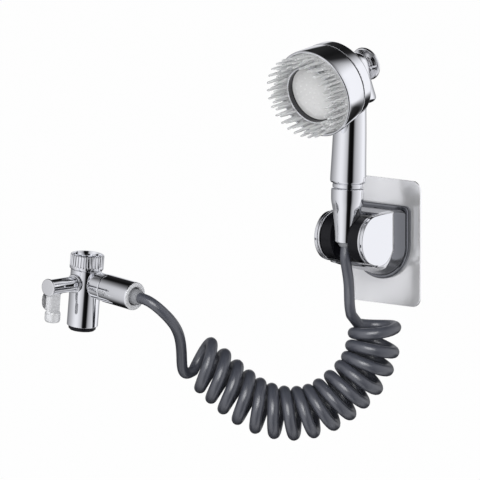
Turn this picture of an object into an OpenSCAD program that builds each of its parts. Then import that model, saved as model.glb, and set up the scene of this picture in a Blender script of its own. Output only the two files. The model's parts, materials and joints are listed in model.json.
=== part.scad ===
// Handheld bath sprayer with brush, tilting wall holder, recoil hose and diverter valve.
// Millimetres. The wall is the plane y = 0 and everything stands out from it towards -Y.
// +X runs along the wall, +Z is up. The origin is the middle of the wall plate's back face.

/* [Wall plate] */
// Width of the wall plate
plate_w = 77; // [70:1:95]
// Height of the wall plate
plate_h = 100; // [80:1:120]
// Corner radius of the wall plate
plate_corner = 8; // [4:0.5:14]
// Thickness of the wall plate
plate_t = 1.6; // [1:0.1:3]
// Thickness of the adhesive pad behind the plate
pad_t = 0.8; // [0.5:0.1:2]
// How far the pad stays inside the plate's edge
pad_inset = 1; // [0:0.5:3]
// Width and height of the D-shaped flange
flange_w = 60; // [56:1:68]
// Thickness of the flange
flange_t = 4; // [2.5:0.5:6]
// Radius of the flange's two top corners
flange_corner = 5; // [3:0.5:8]
// Radius of the welded stud
stud_r = 3; // [2:0.5:4]
// Length of the welded stud
stud_len = 12; // [9:0.5:13]

/* [Holder] */
// Distance of the cradle's tilt axis from the wall
barrel_out = 37; // [34:0.5:42]
// Height of the tilt axis above the plate's middle
barrel_up = 6; // [2:0.5:10]
// Radius of the holder's round cheeks
cheek_r = 20; // [19.5:0.25:22]
// Width of the holder over both end caps
holder_w = 49; // [47:0.5:54]
// Thickness of a fork arm of the holder
arm_t = 2.2; // [1.8:0.1:3]
// Thickness of an end cap
cap_t = 3; // [2:0.25:4]
// How far the holder's body is set in from the flange's edge
body_inset = 2.5; // [1.5:0.25:4]
// Wall of the holder round the cradle
holder_skin = 0.8; // [0.6:0.1:1.5]
// Radius of the cradle's two pivot pins
pin_r = 3; // [2.5:0.25:4]
// Length of a pivot pin
pin_len = 9; // [7:0.5:11]

/* [Cradle] */
// Distance of the handset's axis in front of the tilt axis
seat_out = 10; // [8:0.5:11]
// Half the width of the hose slot at its narrow bottom
slot_low = 8.2; // [7.5:0.1:8.8]
// Half the width of the hose slot at its top
slot_high = 10.2; // [9.5:0.1:11]

/* [Handset] */
// Lean of the handset's axis towards the wall, in degrees
handle_lean = 3; // [0:0.5:5]
// Radius of the handle where it is widest
handle_r = 14.25; // [13.8:0.05:15]
// Radius of the handle below the head
handle_neck_r = 12.4; // [12:0.1:13]
// Length of the handle shell
handle_len = 65.5; // [62:0.5:66]
// Wall of the handle shell
handle_wall = 2.6; // [2:0.1:3]
// Length of the conical hose nut
nut_len = 43; // [41:0.5:46]
// Radius of the hose nut at its top
nut_top_r = 13.1; // [12.6:0.1:13.6]
// Radius of the hose nut at its bottom
nut_low_r = 9; // [8.6:0.1:9.4]
// Visible height of the nipple's flange between nut and handle
collar_h = 4; // [3:0.25:5]
// Height of the head's axis above the handle shell, along the handle
head_above = 21.9; // [20:0.1:26]

/* [Head] */
// Radius of the head's front ring
head_r = 35.6; // [34.5:0.2:37]
// Angle between the spray face and the handle, in degrees
head_nod = 18; // [14:1:22]
// Distance of the handle's axis ahead of the head's rear face
axis_ahead = 12.9; // [12:0.1:14]
// Depth of the front ring
ring_depth = 21.6; // [20:0.2:23]
// Depth at which the head's drum turns in to its back, from the front rim
drum_depth = 31.5; // [30:0.25:34]
// Depth of the whole head, front rim to rear face
head_depth = 61.6; // [61:0.1:64]
// Widest radius of the rear housing's bulb round the top of the handle
bulb_r = 19.7; // [18.5:0.1:20.5]
// Radius of the recessed spray plate's bore
face_r = 22.4; // [20:0.2:23]
// How far the recess ring stands proud of the rim
face_proud = 3.8; // [2:0.2:5]
// Depth of the recess
recess_depth = 5; // [4:0.2:6]
// Length of a bristle
bristle_len = 18; // [12:0.5:22]
// Root radius of a bristle
bristle_r = 1.35; // [1:0.05:1.5]
// Tip radius of a bristle
bristle_tip_r = 0.6; // [0.4:0.05:0.8]
// Splay of the outer bristles, in degrees
bristle_splay = 7; // [0:1:10]
// Bristles in the outer row
bristle_count = 32; // [24:1:34]
// Radius of a spray hole
spray_hole_r = 0.5; // [0.4:0.05:0.7]
// Radius of the stop button's cap
button_r = 13.5; // [11:0.5:16]
// Radius of the stop button's neck
button_neck_r = 5.8; // [5:0.1:6.2]
// Travel of the stop button
button_travel = 3; // [2:0.25:3.5]
// Thickness of the stop button's cap
button_t = 4; // [3:0.25:5]

/* [Diverter] */
// Distance of the diverter's axis left of the plate's middle
div_left = 157.2; // [150:0.2:165]
// Distance of the diverter's axis from the wall
div_out = 177.8; // [170:0.2:185]
// Depth of the diverter's crossing axes below the plate's middle
div_down = 28; // [24:0.5:32]
// Lean of the diverter to the side, in degrees
div_lean = 6; // [0:1:10]
// Turn of the diverter about its own axis, in degrees
div_turn = 4; // [0:1:8]
// Radius of the diverter's body
div_r = 12.3; // [12:0.1:13.5]
// Height of the body above the crossing axes
div_above = 10.5; // [9:0.5:12]
// Depth of the body below the crossing axes
div_below = 35; // [32:0.5:40]
// Outer radius of the knurled inlet nut
inlet_r = 13.4; // [13:0.1:15]
// Wall radius of the inlet nut's thread
inlet_thread_r = 11; // [10.5:0.1:11.3]
// Free depth of the inlet thread
inlet_depth = 6.8; // [5:0.2:9]
// Length of the cast outlet boss from the body's axis
boss_len = 24; // [20:0.5:27]
// Radius of the hose coupling nut
coupling_r = 11.2; // [10.6:0.1:12]
// Length of the hose coupling nut
coupling_len = 31; // [28:0.5:34]
// Radius of the lever's hub
hub_r = 6; // [5:0.25:6.5]
// Distance of the lever's arm from the body's axis
lever_out = 34.3; // [32:0.5:38]
// Radius of the lever's arm and tip
arm_r = 6.2; // [5.5:0.1:7]
// Thickness of the lever's blade
blade_t = 4; // [3:0.25:5]
// Length of the lever from its axis to its tip
lever_len = 28.5; // [25:0.5:34]
// Radius of the lever's round thumb boss
thumb_r = 9.2; // [7:0.2:10]
// Radius of the aerator's black lip
aerator_r = 10.8; // [10.5:0.1:11.5]

/* [Hose] */
// Outer diameter of the hose
hose_d = 8.4; // [7.6:0.1:8.6]
// Radius of the coil to the middle of the hose
coil_r = 17; // [16:0.25:18]
// Bearing of the hanging coil's plane from the wall, in degrees
hang_turn = 40; // [36:1:44]

/* [Clearances] */
// Gap between pieces that are fixed to each other
seat_gap = 0.1; // [0.05:0.05:0.15]
// Radial gap of a shaft that turns or slides in a bore
run_gap = 0.05; // [0.03:0.01:0.08]
// Gap round the cradle and the cone, which lift or tilt
free_gap = 0.3; // [0.2:0.05:0.4]

/* [Hidden] */

// Resolution of round forms, and a cut's overrun past a face
$fn = 64;
cut = 1;

// Colours
chrome_colour = [0.80, 0.81, 0.83];
steel_colour = [0.86, 0.86, 0.87];
black_colour = [0.05, 0.05, 0.06];
hose_colour = [0.33, 0.34, 0.38];
grey_colour = [0.60, 0.61, 0.63];
clear_colour = [0.82, 0.83, 0.84];
white_colour = [0.90, 0.90, 0.90];
brass_colour = [0.78, 0.62, 0.34];
rubber_colour = [0.12, 0.12, 0.13];

// ---------- Derived sizes: holder ----------
plate_front = pad_t + plate_t;
flange_front = plate_front + flange_t;
cap_in = holder_w / 2 - cap_t;
arm_out = cap_in - seat_gap;
arm_in = arm_out - arm_t;
barrel_bore_r = cheek_r - holder_skin;
barrel_r = barrel_bore_r - free_gap;
washer_t = 0.5;
barrel_half = arm_in - washer_t - seat_gap;
pin_end = arm_out - seat_gap;
lip_angle = 60;
roof_angle = 18;
cover_back = barrel_out - cheek_r + 0.2;
nut_room_r = nut_top_r + 1.4;
line_dip = 0.3;
body_half = flange_w / 2 - body_inset;
nut_hold_r = 2 * stud_r;
grub_r = 1.5;
grub_out = flange_front + 5;

// ---------- Derived sizes: handset, measured along its own axis from the tilt axis' height ----------
nut_low = -2.5;
nut_high = nut_low + nut_len;
collar_low = nut_high + seat_gap;
handle_low = collar_low + collar_h;
handle_high = handle_low + handle_len;
handle_bore_r = handle_neck_r - handle_wall;
head_up = handle_high + head_above;
core_r = handle_bore_r - seat_gap;
core_shoulder = handle_high + 2;
core_neck_r = 7;
core_bore_r = 4.6;
thread_r = 8;
thread_len = 22;
nipple_low = nut_high - thread_len;
nipple_bore_r = 4;
collar_r = nut_top_r - 0.9;
shank_r = 6;
shank_len = 8;
fitting_r = thread_r - 0.2;
fitting_t = 2;
hose_washer_t = 2;
fitting_high = nipple_low - hose_washer_t - 2 * seat_gap;
fitting_low = fitting_high - fitting_t;
nut_shelf = fitting_low - seat_gap;
ferrule_r = hose_d / 2 + 2;
nut_mouth_r = ferrule_r + free_gap;
ferrule_low = nut_low - 3.5;
ferrule_high = nut_shelf - 0.4;
barb_r = 2.4;

// ---------- Derived sizes: head, measured along its axis from the front rim ----------
head_back = head_depth - axis_ahead;
rim_w = 1.8;
brush_out = head_r - rim_w - seat_gap;
brush_front = 1;
brush_t = 2.6;
brush_back = brush_front + brush_t;
recess_wall = 1.2;
recess_out = face_r + recess_wall;
brush_in = recess_out + seat_gap;
brush_rows = max(1, round((brush_out - brush_in) / 3.4));
brush_edge = bristle_r + 0.9;
brush_step = (brush_out - brush_in - 2 * brush_edge + 0.3) / max(brush_rows - 1, 1);
floor_at = recess_depth - face_proud;
spray_t = 1.8;
seal_t = 1.8;
carrier_front = floor_at + spray_t + seal_t + 2 * seat_gap;
carrier_t = 2;
ring_shelf_r = head_r - 4.1;
spigot_r = ring_shelf_r - seat_gap;
spigot_front = carrier_front + carrier_t + seat_gap;
housing_wall = 2.4;
cavity_r = spigot_r - housing_wall;
seam = 0.9;
housing_front = ring_depth + seam;
ring_rear_r = head_r - 2.3;
housing_front_r = head_r - 2.6;
drum_r = head_r - 3.4;
socket_wall = 1.6;
chamber_back = head_depth - 5;
guide_r = button_neck_r + run_gap;
diffuser_at = spigot_front + 3;
button_low = head_depth + button_travel + 0.4;
neck_end = head_depth - 3.2;
valve_r = 9;
chamber_r = valve_r + 1.5;
valve_wall = 2.2;
valve_back = chamber_back - seat_gap;
valve_len = 20;
valve_front = valve_back - valve_len;
seat_hole_r = 4;
stem_r = 2.5;
seal_r = 6;
valve_seal_t = 2.6;
spring_wire = 0.9;
spring_r = 4;
spring_turns = 6;
spring_low = valve_front + 2 + 0.1;

// ---------- Derived sizes: diverter, measured from its crossing axes ----------
swivel_r = 8;
inlet_lip = 1.7;
inlet_low = div_above + 0.4;
swivel_collar = inlet_low + inlet_lip + seat_gap;
swivel_collar_t = 1.3;
swivel_high = swivel_collar + swivel_collar_t;
inlet_washer_t = 1.5;
inlet_washer_at = swivel_high + seat_gap;
inlet_thread_low = inlet_washer_at + inlet_washer_t;
inlet_high = inlet_thread_low + inlet_depth;
plug_r = 6.4;
plug_front = 6.5;
plug_back = 7.5;
water_r = 4.4;
boss_r = coupling_r - 0.5;
outlet_thread_r = 8;
outlet_thread_len = 10;
outlet_end = boss_len + outlet_thread_len;
coupling_low = boss_len + 0.3;
coupling_high = coupling_low + coupling_len;
tail_washer_t = 2;
tail_flange = outlet_end + tail_washer_t + 2 * seat_gap;
tail_flange_t = 2;
collar_out = ferrule_r;
collar_start = coupling_high - 13;
collar_end = coupling_high + 5;
bonnet_out = div_r + 1.4;
bonnet_r = 7.4;
hub_start = bonnet_out + 0.3;
hub_end = lever_out + arm_r;
lever_cap_t = 1.6;
lever_cap_r = hub_r + 0.9;
shaft_r = 3;
aerator_seat = 8;
blade_low = -(lever_len - 8.4);

// ---------- Frames ----------
module at_wall() rotate([90, 0, 0]) children();
module at_barrel() translate([0, -barrel_out, barrel_up]) rotate([0, 90, 0]) children();
module at_handle() translate([0, -barrel_out - seat_out, barrel_up]) rotate([-handle_lean, 0, 0]) children();
module at_head() at_handle() translate([0, 0, head_up]) rotate([head_nod - 90, 0, 0])
    translate([0, 0, -head_back]) children();
module at_diverter() translate([-div_left, -div_out, -div_down]) rotate([0, div_lean, -div_turn]) children();
module to_outlet() rotate([0, 90, 0]) children();
module to_lever() rotate([90, 0, 0]) children();

// ---------- Shared shapes ----------
module turned(points) rotate_extrude() polygon(points);
module ring(r_in, r_out, t) difference() {
    cylinder(r = r_out, h = t);
    translate([0, 0, -cut]) cylinder(r = r_in, h = t + 2 * cut);
}
module rounded_plate(w, h, corner, t) linear_extrude(t) {
    square([w - 2 * corner, h], center = true);
    square([w, h - 2 * corner], center = true);
    for (x = [-1, 1], y = [-1, 1]) translate([x * (w / 2 - corner), y * (h / 2 - corner)]) circle(corner);
}
// A D with a flat top, two small top corners and a half-round bottom
module d_outline(half, corner) {
    circle(half);
    translate([-half, 0]) square([2 * half, half - corner]);
    translate([corner - half, 0]) square([2 * (half - corner), half]);
    for (x = [-1, 1]) translate([x * (half - corner), half - corner]) circle(corner);
}
module round_holes(rows, r, h) for (row = rows, i = [0:row[1] - 1])
    rotate([0, 0, 360 * (i + row[2]) / row[1]]) translate([row[0], 0, -cut])
        cylinder(r = r, h = h + 2 * cut, $fn = 16);

// ---------- Swept tubes ----------
function unit(v) = v / norm(v);
function heading(p, i) = unit(p[min(i + 1, len(p) - 1)] - p[max(i - 1, 0)]);
function square_to(v, t) = unit(v - t * (v * t));
function side_ways(p, first) = [for (i = 0, v = square_to(first, heading(p, 0)); i < len(p);
    i = i + 1, v = i < len(p) ? square_to(v, heading(p, i)) : v) v];
function tube_points(p, r, n, first) = let (s = side_ways(p, first))
    [for (i = [0:len(p) - 1]) let (b = cross(heading(p, i), s[i]))
        for (k = [0:n - 1]) p[i] + r * (cos(360 * k / n) * s[i] + sin(360 * k / n) * b)];
function tube_faces(m, n) = concat(
    [for (k = [1:n - 2]) [0, k, k + 1]],
    [for (i = [0:m - 2], k = [0:n - 1]) let (a = i * n + k, b = i * n + (k + 1) % n) [a, a + n, b + n]],
    [for (i = [0:m - 2], k = [0:n - 1]) let (a = i * n + k, b = i * n + (k + 1) % n) [a, b + n, b]],
    [for (k = [1:n - 2]) [(m - 1) * n, (m - 1) * n + k + 1, (m - 1) * n + k]]);
module tube(p, r, n, first) polyhedron(tube_points(p, r, n, first), tube_faces(len(p), n));
function run_length(p) = len(p) < 2 ? 0 : [for (i = 1, s = norm(p[1] - p[0]); i < len(p);
    i = i + 1, s = i < len(p) ? s + norm(p[i] - p[i - 1]) : s) s][len(p) - 2];
// Smooth curve through points, t counting them from 0
function curve(p, t) = let (n = len(p) - 1, i = min(floor(t), n - 1), u = t - i,
    a = i == 0 ? 2 * p[0] - p[1] : p[i - 1], b = p[i], c = p[i + 1],
    d = i + 2 > n ? 2 * p[n] - p[n - 1] : p[i + 2])
    0.5 * (2 * b + (c - a) * u + (2 * a - 5 * b + 4 * c - d) * u * u + (3 * b - a - 3 * c + d) * u * u * u);

// ---------- Route of the hose ----------
// The coil hangs in an upright plane: r runs along it away from the diverter, w up, f to its front
hang_at = [0, -45.3, 5.6];
function hang(r, w, f) = hang_at + [cos(hang_turn) * r + sin(hang_turn) * f,
    sin(hang_turn) * r - cos(hang_turn) * f, w];
// Middle line of the coil as r, w
coil_axis = [[20, -67], [21, -83], [9, -110], [-27, -136], [-71, -132], [-118, -94]];
coil_span = 15.5 * 360;
coil_first = -135;
coil_last = 29.5 * 180 + 45;
// Lean of the turns at the handset's end and at the diverter's end
coil_lean = [-14, 19];
axis_steps = 50;
axis_t = [for (i = [0:axis_steps]) i / axis_steps * (len(coil_axis) - 1)];
axis_run = [for (i = 0, s = 0; i <= axis_steps; i = i + 1,
    s = i <= axis_steps ? s + norm(curve(coil_axis, axis_t[i]) - curve(coil_axis, axis_t[i - 1])) : s) s];
axis_table = [for (i = [0:axis_steps]) [axis_run[i], axis_t[i]]];
function coil_at(a) = let (g = (a + 180) / coil_span, t = lookup(g * axis_run[axis_steps], axis_table),
    c = curve(coil_axis, t), e = 0.01,
    d = curve(coil_axis, min(t + e, len(coil_axis) - 1)) - curve(coil_axis, max(t - e, 0)), u = d / norm(d),
    q = coil_lean[0] * (1 - g) * (1 - g) + coil_lean[1] * g * g,
    n = [-u[1] * cos(q) - u[0] * sin(q), -u[1] * sin(q) + u[0] * cos(q)])
    hang(c[0] + coil_r * cos(a) * n[0], c[1] + coil_r * cos(a) * n[1], coil_r * sin(a));
function coil_route(step) = concat(
    [hang(2.4, -44, 0), hang(2.7, -53, 0), hang(3.4, -60, -2)],
    [for (a = [coil_first:step:coil_last]) coil_at(a)],
    [hang(-126.5, -108.5, -6), hang(-129, -105, -1), hang(-130, -99, 4), hang(-130, -92, 10)]);
coil_path = coil_route(45);
function on_diverter(x) = [-div_left, -div_out, -div_down]
    + x * [cos(div_lean) * cos(div_turn), -cos(div_lean) * sin(div_turn), -sin(div_lean)];
function on_handle(t) = [0, -barrel_out - seat_out, barrel_up] + t * [0, sin(handle_lean), cos(handle_lean)];
handset_route = [on_handle(ferrule_low), on_handle(ferrule_low - 9), hang(0.6, -26, 0.6), hang(2.1, -35, 0),
    hang(2.4, -44, 0)];
diverter_route = [on_diverter(collar_end), on_diverter(collar_end + 9), [-81, -179, -41], [-77, -169, -50],
    [-79, -156, -60], [-87, -145, -74], hang(-130, -92, 10)];
fine_path = coil_route(22.5);
turn_points = 16;
coil_gap = min([for (i = [0:len(fine_path) - 1], j = [i + 11:i + turn_points + 5])
    if (j < len(fine_path)) norm(fine_path[i] - fine_path[j])]) - hose_d;
union() {
    echo("least gap between neighbouring turns of the coil, mm", coil_gap);
    echo("hose length, mm", run_length(fine_path) + run_length(handset_route) + run_length(diverter_route));
}

// ---------- Wall plate and holder ----------
module adhesive_pad() color(white_colour) at_wall()
    rounded_plate(plate_w - 2 * pad_inset, plate_h - 2 * pad_inset, plate_corner - pad_inset, pad_t);

module wall_plate() color(steel_colour) at_wall() translate([0, 0, pad_t])
    rounded_plate(plate_w, plate_h, plate_corner, plate_t);

module mount_stud() color(steel_colour) at_wall() translate([0, 0, plate_front]) {
    cylinder(r = stud_r, h = stud_len);
    cylinder(r = 2 * stud_r, h = 1);
}

module base_flange() color(chrome_colour) at_wall() translate([0, 0, plate_front]) difference() {
    linear_extrude(flange_t) d_outline(flange_w / 2, flange_corner);
    translate([0, 0, -cut]) cylinder(r = 2 * stud_r + seat_gap, h = flange_t + 2 * cut);
}

module stud_nut() color(steel_colour) at_wall() translate([0, 0, flange_front + seat_gap])
    ring(stud_r + seat_gap, nut_hold_r, 8);

// The open front of the holder, from the roof's edge to the lip below the cradle
module barrel_opening() rotate([90, 0, 90]) translate([0, 0, -arm_in]) linear_extrude(2 * arm_in)
    polygon(2 * cheek_r * [[0, 0], [2 * sin(roof_angle), 2 * cos(roof_angle)], [-3, 2],
        [-2 * cos(lip_angle), -2 * sin(lip_angle)]]);

// Side view of the holder: the round cheeks, drawn out to the flange by a line above and one below
module body_side() {
    middle = [-barrel_out, barrel_up];
    translate(middle) circle(cheek_r);
    polygon([for (side = [-1, 1]) each let (q = [-flange_front, side * body_half],
        to = q - middle, a = atan2(to[1], to[0]) + side * acos(cheek_r / norm(to)),
        touch = middle + (cheek_r - line_dip) * [cos(a), sin(a)]) side < 0 ? [touch, q] : [q, touch]]);
}
// Plan of the holder: straight cheeks that flare to the flange
module body_plan() polygon([for (side = [-1, 1]) each let (w = side * holder_w / 2, wall = side * body_half,
    p = [[w, -barrel_out - cheek_r - cut], [w, -barrel_out + cheek_r], [wall, -flange_front], [wall, 0]])
    side > 0 ? p : [for (i = [3:-1:0]) p[i]]]);

module holder_body() color(chrome_colour) difference() {
    intersection() {
        rotate([90, 0, 90]) translate([0, 0, -flange_w / 2]) linear_extrude(flange_w) body_side();
        translate([0, 0, -flange_w]) linear_extrude(2 * flange_w) body_plan();
        at_wall() translate([0, 0, flange_front]) linear_extrude(barrel_out + cheek_r)
            d_outline(body_half, flange_corner);
    }
    at_barrel() cylinder(r = barrel_bore_r, h = 2 * arm_in, center = true);
    at_barrel() cylinder(r = pin_r + run_gap, h = holder_w, center = true);
    for (side = [0, 1]) mirror([side, 0, 0]) translate([arm_out, -barrel_out - 2 * cheek_r, -2 * cheek_r])
        cube([2 * cap_t, barrel_out + 2 * cheek_r - cover_back, 5 * cheek_r]);
    at_handle() translate([0, 0, barrel_up]) cylinder(r = nut_room_r, h = 3 * cheek_r);
    translate([0, -barrel_out, barrel_up]) barrel_opening();
    at_wall() translate([0, 0, flange_front - cut]) cylinder(r = nut_hold_r + seat_gap, h = 10 + cut);
    translate([0, -grub_out, 0]) cylinder(r = grub_r + seat_gap, h = 2 * flange_w);
    translate([-slot_low - 1, -barrel_out - 2 * cheek_r, barrel_up - 2 * cheek_r])
        cube([2 * slot_low + 2, 2 * cheek_r + 3, 2 * cheek_r]);
}

module grub_screw() color(black_colour) translate([0, -grub_out, 0]) difference() {
    translate([0, 0, nut_hold_r + 2 * seat_gap]) cylinder(r = grub_r, h = body_half - nut_hold_r - 1.4);
    translate([0, 0, body_half - 2.6]) cylinder(r = 0.8, h = 4, $fn = 6);
}

// The flat cover on the outside of a cheek, from its round front to the crease where the holder flares
module end_cap() color(chrome_colour) translate([cap_in, 0, 0]) rotate([90, 0, 90]) linear_extrude(cap_t)
    intersection() {
        body_side();
        translate([-3 * cheek_r, -2 * cheek_r]) square([3 * cheek_r - cover_back - seat_gap, 5 * cheek_r]);
    }
module end_cap_right() end_cap();
module end_cap_left() mirror([1, 0, 0]) end_cap();

module friction_washers() color(rubber_colour) at_barrel() for (side = [0, 1]) mirror([0, 0, side])
    translate([0, 0, arm_in - washer_t]) ring(pin_r + seat_gap, 3.6 * pin_r, washer_t);

// ---------- Cradle ----------
// Outline of the conical hose nut, as radius and height on the handset's axis
function nut_outline(grow) = [
    [nut_low_r + grow, nut_low], [nut_low_r + 0.3 + grow, nut_low + 3.5],
    [nut_low_r + 1.9 + grow, nut_low + 23.2], [nut_low_r + 2.6 + grow, nut_low + 26.7],
    [nut_top_r - 0.5 + grow, nut_low + 31.5], [nut_top_r + grow, nut_low + 35.5]];

module cradle_barrel() color(black_colour) difference() {
    at_barrel() cylinder(r = barrel_r, h = 2 * barrel_half, center = true);
    at_handle() turned(concat([[0, nut_low + 2 * cheek_r]], [[nut_top_r + free_gap, nut_low + 2 * cheek_r]],
        [for (i = [5:-1:0]) nut_outline(free_gap)[i]], [[nut_low_r + free_gap, -2 * cheek_r], [0, -2 * cheek_r]]));
    at_handle() rotate([90, 0, 0]) linear_extrude(3 * cheek_r)
        polygon([[-slot_low, -40], [slot_low, -40], [slot_low, -8], [slot_high, 18], [slot_high, 40],
            [-slot_high, 40], [-slot_high, 18], [-slot_low, -8]]);
    for (side = [0, 1]) at_barrel() mirror([0, 0, side])
        translate([0, 0, pin_end - pin_len - seat_gap]) cylinder(r = pin_r + run_gap, h = pin_len + cut);
}

module pivot_pins() color(steel_colour) at_barrel() for (side = [0, 1]) mirror([0, 0, side])
    translate([0, 0, pin_end - pin_len]) cylinder(r = pin_r, h = pin_len);

// ---------- Head ----------
module front_ring() color(chrome_colour) at_head() turned([[head_r - rim_w, 0], [head_r - 0.7, 0],
    [head_r, 0.7], [head_r, 3.5], [ring_rear_r, ring_depth], [ring_shelf_r, ring_depth],
    [ring_shelf_r, brush_back + seat_gap], [head_r - rim_w, brush_back + seat_gap]]);

module bristle() cylinder(r1 = bristle_r, r2 = bristle_tip_r, h = bristle_len, $fn = 16);
module brush_ring() color(clear_colour) at_head() {
    translate([0, 0, brush_front]) ring(brush_in, brush_out, brush_t);
    for (row = [0:brush_rows - 1]) let (n = bristle_count - 4 * row, r = brush_out - brush_edge - brush_step * row,
        splay = bristle_splay - 3 * row)
        for (i = [0:n - 1]) rotate([0, 0, 360 * (i + row / 2) / n]) translate([r, 0, brush_front + 0.6])
            rotate([0, 180 - splay, 0]) bristle();
}

module recess_ring() color(chrome_colour) at_head() turned([[face_r, -face_proud + 0.4],
    [face_r + 0.4, -face_proud], [recess_out - 0.4, -face_proud], [recess_out, -face_proud + 0.4],
    [recess_out, carrier_front - seat_gap], [face_r, carrier_front - seat_gap]]);

spray_rows = [[0, 1, 0], [4.6, 6, 0], [9.2, 12, 0.5], [13.8, 18, 0], [18.2, 24, 0.5]];
module spray_plate() color(white_colour) at_head() difference() {
    union() {
        translate([0, 0, floor_at]) cylinder(r = face_r - seat_gap, h = spray_t);
        for (row = spray_rows, i = [0:row[1] - 1]) rotate([0, 0, 360 * (i + row[2]) / row[1]])
            translate([row[0], 0, floor_at - 0.9]) cylinder(r1 = 0.85, r2 = 1.25, h = 1.4, $fn = 16);
    }
    translate([0, 0, floor_at - 1]) round_holes(spray_rows, spray_hole_r, spray_t + 1);
}

module face_seal() color(rubber_colour) at_head() translate([0, 0, floor_at + spray_t + seat_gap])
    ring(face_r - 2, face_r - seat_gap, seal_t);

module face_carrier() color(white_colour) at_head() translate([0, 0, carrier_front])
    ring(face_r - 4, spigot_r, carrier_t);

module diffuser() color(white_colour) at_head() translate([0, 0, diffuser_at]) difference() {
    cylinder(r = cavity_r - seat_gap, h = 2);
    round_holes([[cavity_r - 13, 12, 0], [cavity_r - 5, 16, 0]], 1.6, 2);
}

// Outline of the handle shell, as radius and height on the handset's axis
function handle_outline(grow) = [
    [handle_r - 1.4 + grow, handle_low], [handle_r - 0.3 + grow, handle_low + 0.6],
    [handle_r + grow, handle_low + 1.8], [handle_r - 0.35 + grow, handle_low + 14],
    [handle_neck_r + 0.9 + grow, handle_low + 36], [handle_neck_r + 0.5 + grow, handle_high - 18],
    [handle_neck_r + grow, handle_high - 4], [handle_neck_r + grow, handle_high + grow]];

// The drum behind the front ring, with its domed back
module head_drum() at_head() turned([
    [0, spigot_front], [spigot_r, spigot_front], [spigot_r, housing_front],
    [housing_front_r, housing_front], [housing_front_r + 0.2, housing_front + 0.6],
    [drum_r, drum_depth - 0.5], [drum_r - 0.5, drum_depth + 1], [drum_r - 1.9, drum_depth + 2.6],
    [drum_r - 5.5, drum_depth + 4.6],
    [drum_r - 12, drum_depth + 6.6], [drum_r - 20, drum_depth + 7.8], [0, drum_depth + 8.2]]);

// The bulb round the top of the handle, which holds the stop valve
module head_bulb() at_handle() turned([
    [0, handle_high - 4], [handle_neck_r + 0.8, handle_high - 4], [handle_neck_r + 0.9, handle_high - 2.6],
    [bulb_r - 4.5, handle_high - 1.9], [bulb_r - 1.7, handle_high - 0.4],
    [bulb_r - 0.2, handle_high + 1.4], [bulb_r, handle_high + 2.6], [bulb_r - 0.4, handle_high + 4.6],
    [bulb_r - 1.2, handle_high + 6.9], [bulb_r - 2.7, handle_high + 11.4], [bulb_r - 4.3, handle_high + 16.4],
    [bulb_r - 5.3, head_up - 0.4], [bulb_r - 6.1, head_up + 5.1], [bulb_r - 7.5, head_up + 9.6],
    [bulb_r - 10.1, head_up + 13], [bulb_r - 13.7, head_up + 14.9], [bulb_r - 16, head_up + 15.5],
    [0, head_up + 15.5]]);

module rear_housing() color(chrome_colour) difference() {
    union() {
        head_drum();
        head_bulb();
    }
    difference() {
        at_head() turned([
            [0, spigot_front - cut], [cavity_r, spigot_front - cut], [cavity_r, drum_depth - 0.5],
            [drum_r - 6.5, drum_depth + 2.4], [drum_r - 12.5, drum_depth + 4.2],
            [chamber_r, drum_depth + 5.4], [chamber_r, chamber_back], [0, chamber_back]]);
        at_handle() translate([0, 0, handle_high - 30])
            cylinder(r = handle_neck_r + 0.9 + socket_wall, h = 30 + socket_wall);
    }
    at_head() translate([0, 0, chamber_back - cut]) cylinder(r = guide_r, h = head_depth);
    at_head() translate([0, 0, head_depth]) cylinder(r = head_r, h = 2 * bulb_r);
    at_handle() turned(concat([[0, handle_low]], handle_outline(seat_gap), [[0, handle_high + seat_gap]]));
    at_handle() translate([0, 0, handle_high - cut])
        cylinder(r = core_r + seat_gap, h = head_up - handle_high);
}

module neck_seal() color(rubber_colour) at_handle() translate([0, 0, core_shoulder + seat_gap])
    ring(core_neck_r + seat_gap, core_r, 2);

// ---------- Stop valve in the head ----------
module valve_body() color(white_colour) difference() {
    at_head() translate([0, 0, valve_front]) difference() {
        cylinder(r = valve_r, h = valve_len);
        translate([0, 0, 2]) cylinder(r = valve_r - valve_wall, h = valve_len);
        translate([0, 0, -cut]) cylinder(r = seat_hole_r, h = 2 + 2 * cut);
    }
    at_handle() translate([0, 0, head_up - 2 * valve_r]) cylinder(r = core_bore_r, h = 2 * valve_r);
}

module stop_button() color(chrome_colour) at_head() difference() {
    union() {
        translate([0, 0, neck_end]) cylinder(r = button_neck_r, h = button_low - neck_end + 1);
        translate([0, 0, button_low]) turned([[0, 0], [button_neck_r, 0], [button_r - 1.4, 0.5],
            [button_r - 0.3, 1.1], [button_r, 2], [button_r - 0.4, button_t - 1],
            [button_r - 1.8, button_t - 0.3], [button_r - 4, button_t], [0, button_t]]);
    }
    translate([0, 0, neck_end - cut]) cylinder(r = stem_r + seat_gap, h = 4 + cut);
}

module stop_stem() color(brass_colour) at_head() translate([0, 0, valve_front - valve_seal_t - 2])
    cylinder(r = stem_r, h = neck_end + 3.8 - valve_front + valve_seal_t + 2);

module valve_seal() color(rubber_colour) at_head() translate([0, 0, valve_front - valve_seal_t - 0.2])
    ring(stem_r + seat_gap, seal_r, valve_seal_t);

// The spring's own axis is the head's: its turns come from one formula
spring_path = [for (a = [0:45:360 * spring_turns]) [spring_r * cos(a), spring_r * sin(a),
    spring_low + spring_wire / 2 + (neck_end - spring_low - spring_wire - 0.2) * a / (360 * spring_turns)]];
module stop_spring() color(steel_colour) at_head() tube(spring_path, spring_wire / 2, 6, [1, 0, 0]);

// ---------- Handle ----------
module handle_shell() color(chrome_colour) at_handle() difference() {
    turned(concat([[0, handle_low]], handle_outline(0), [[0, handle_high]]));
    translate([0, 0, handle_low - cut]) cylinder(r = handle_bore_r, h = handle_len + 2 * cut);
}

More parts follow.
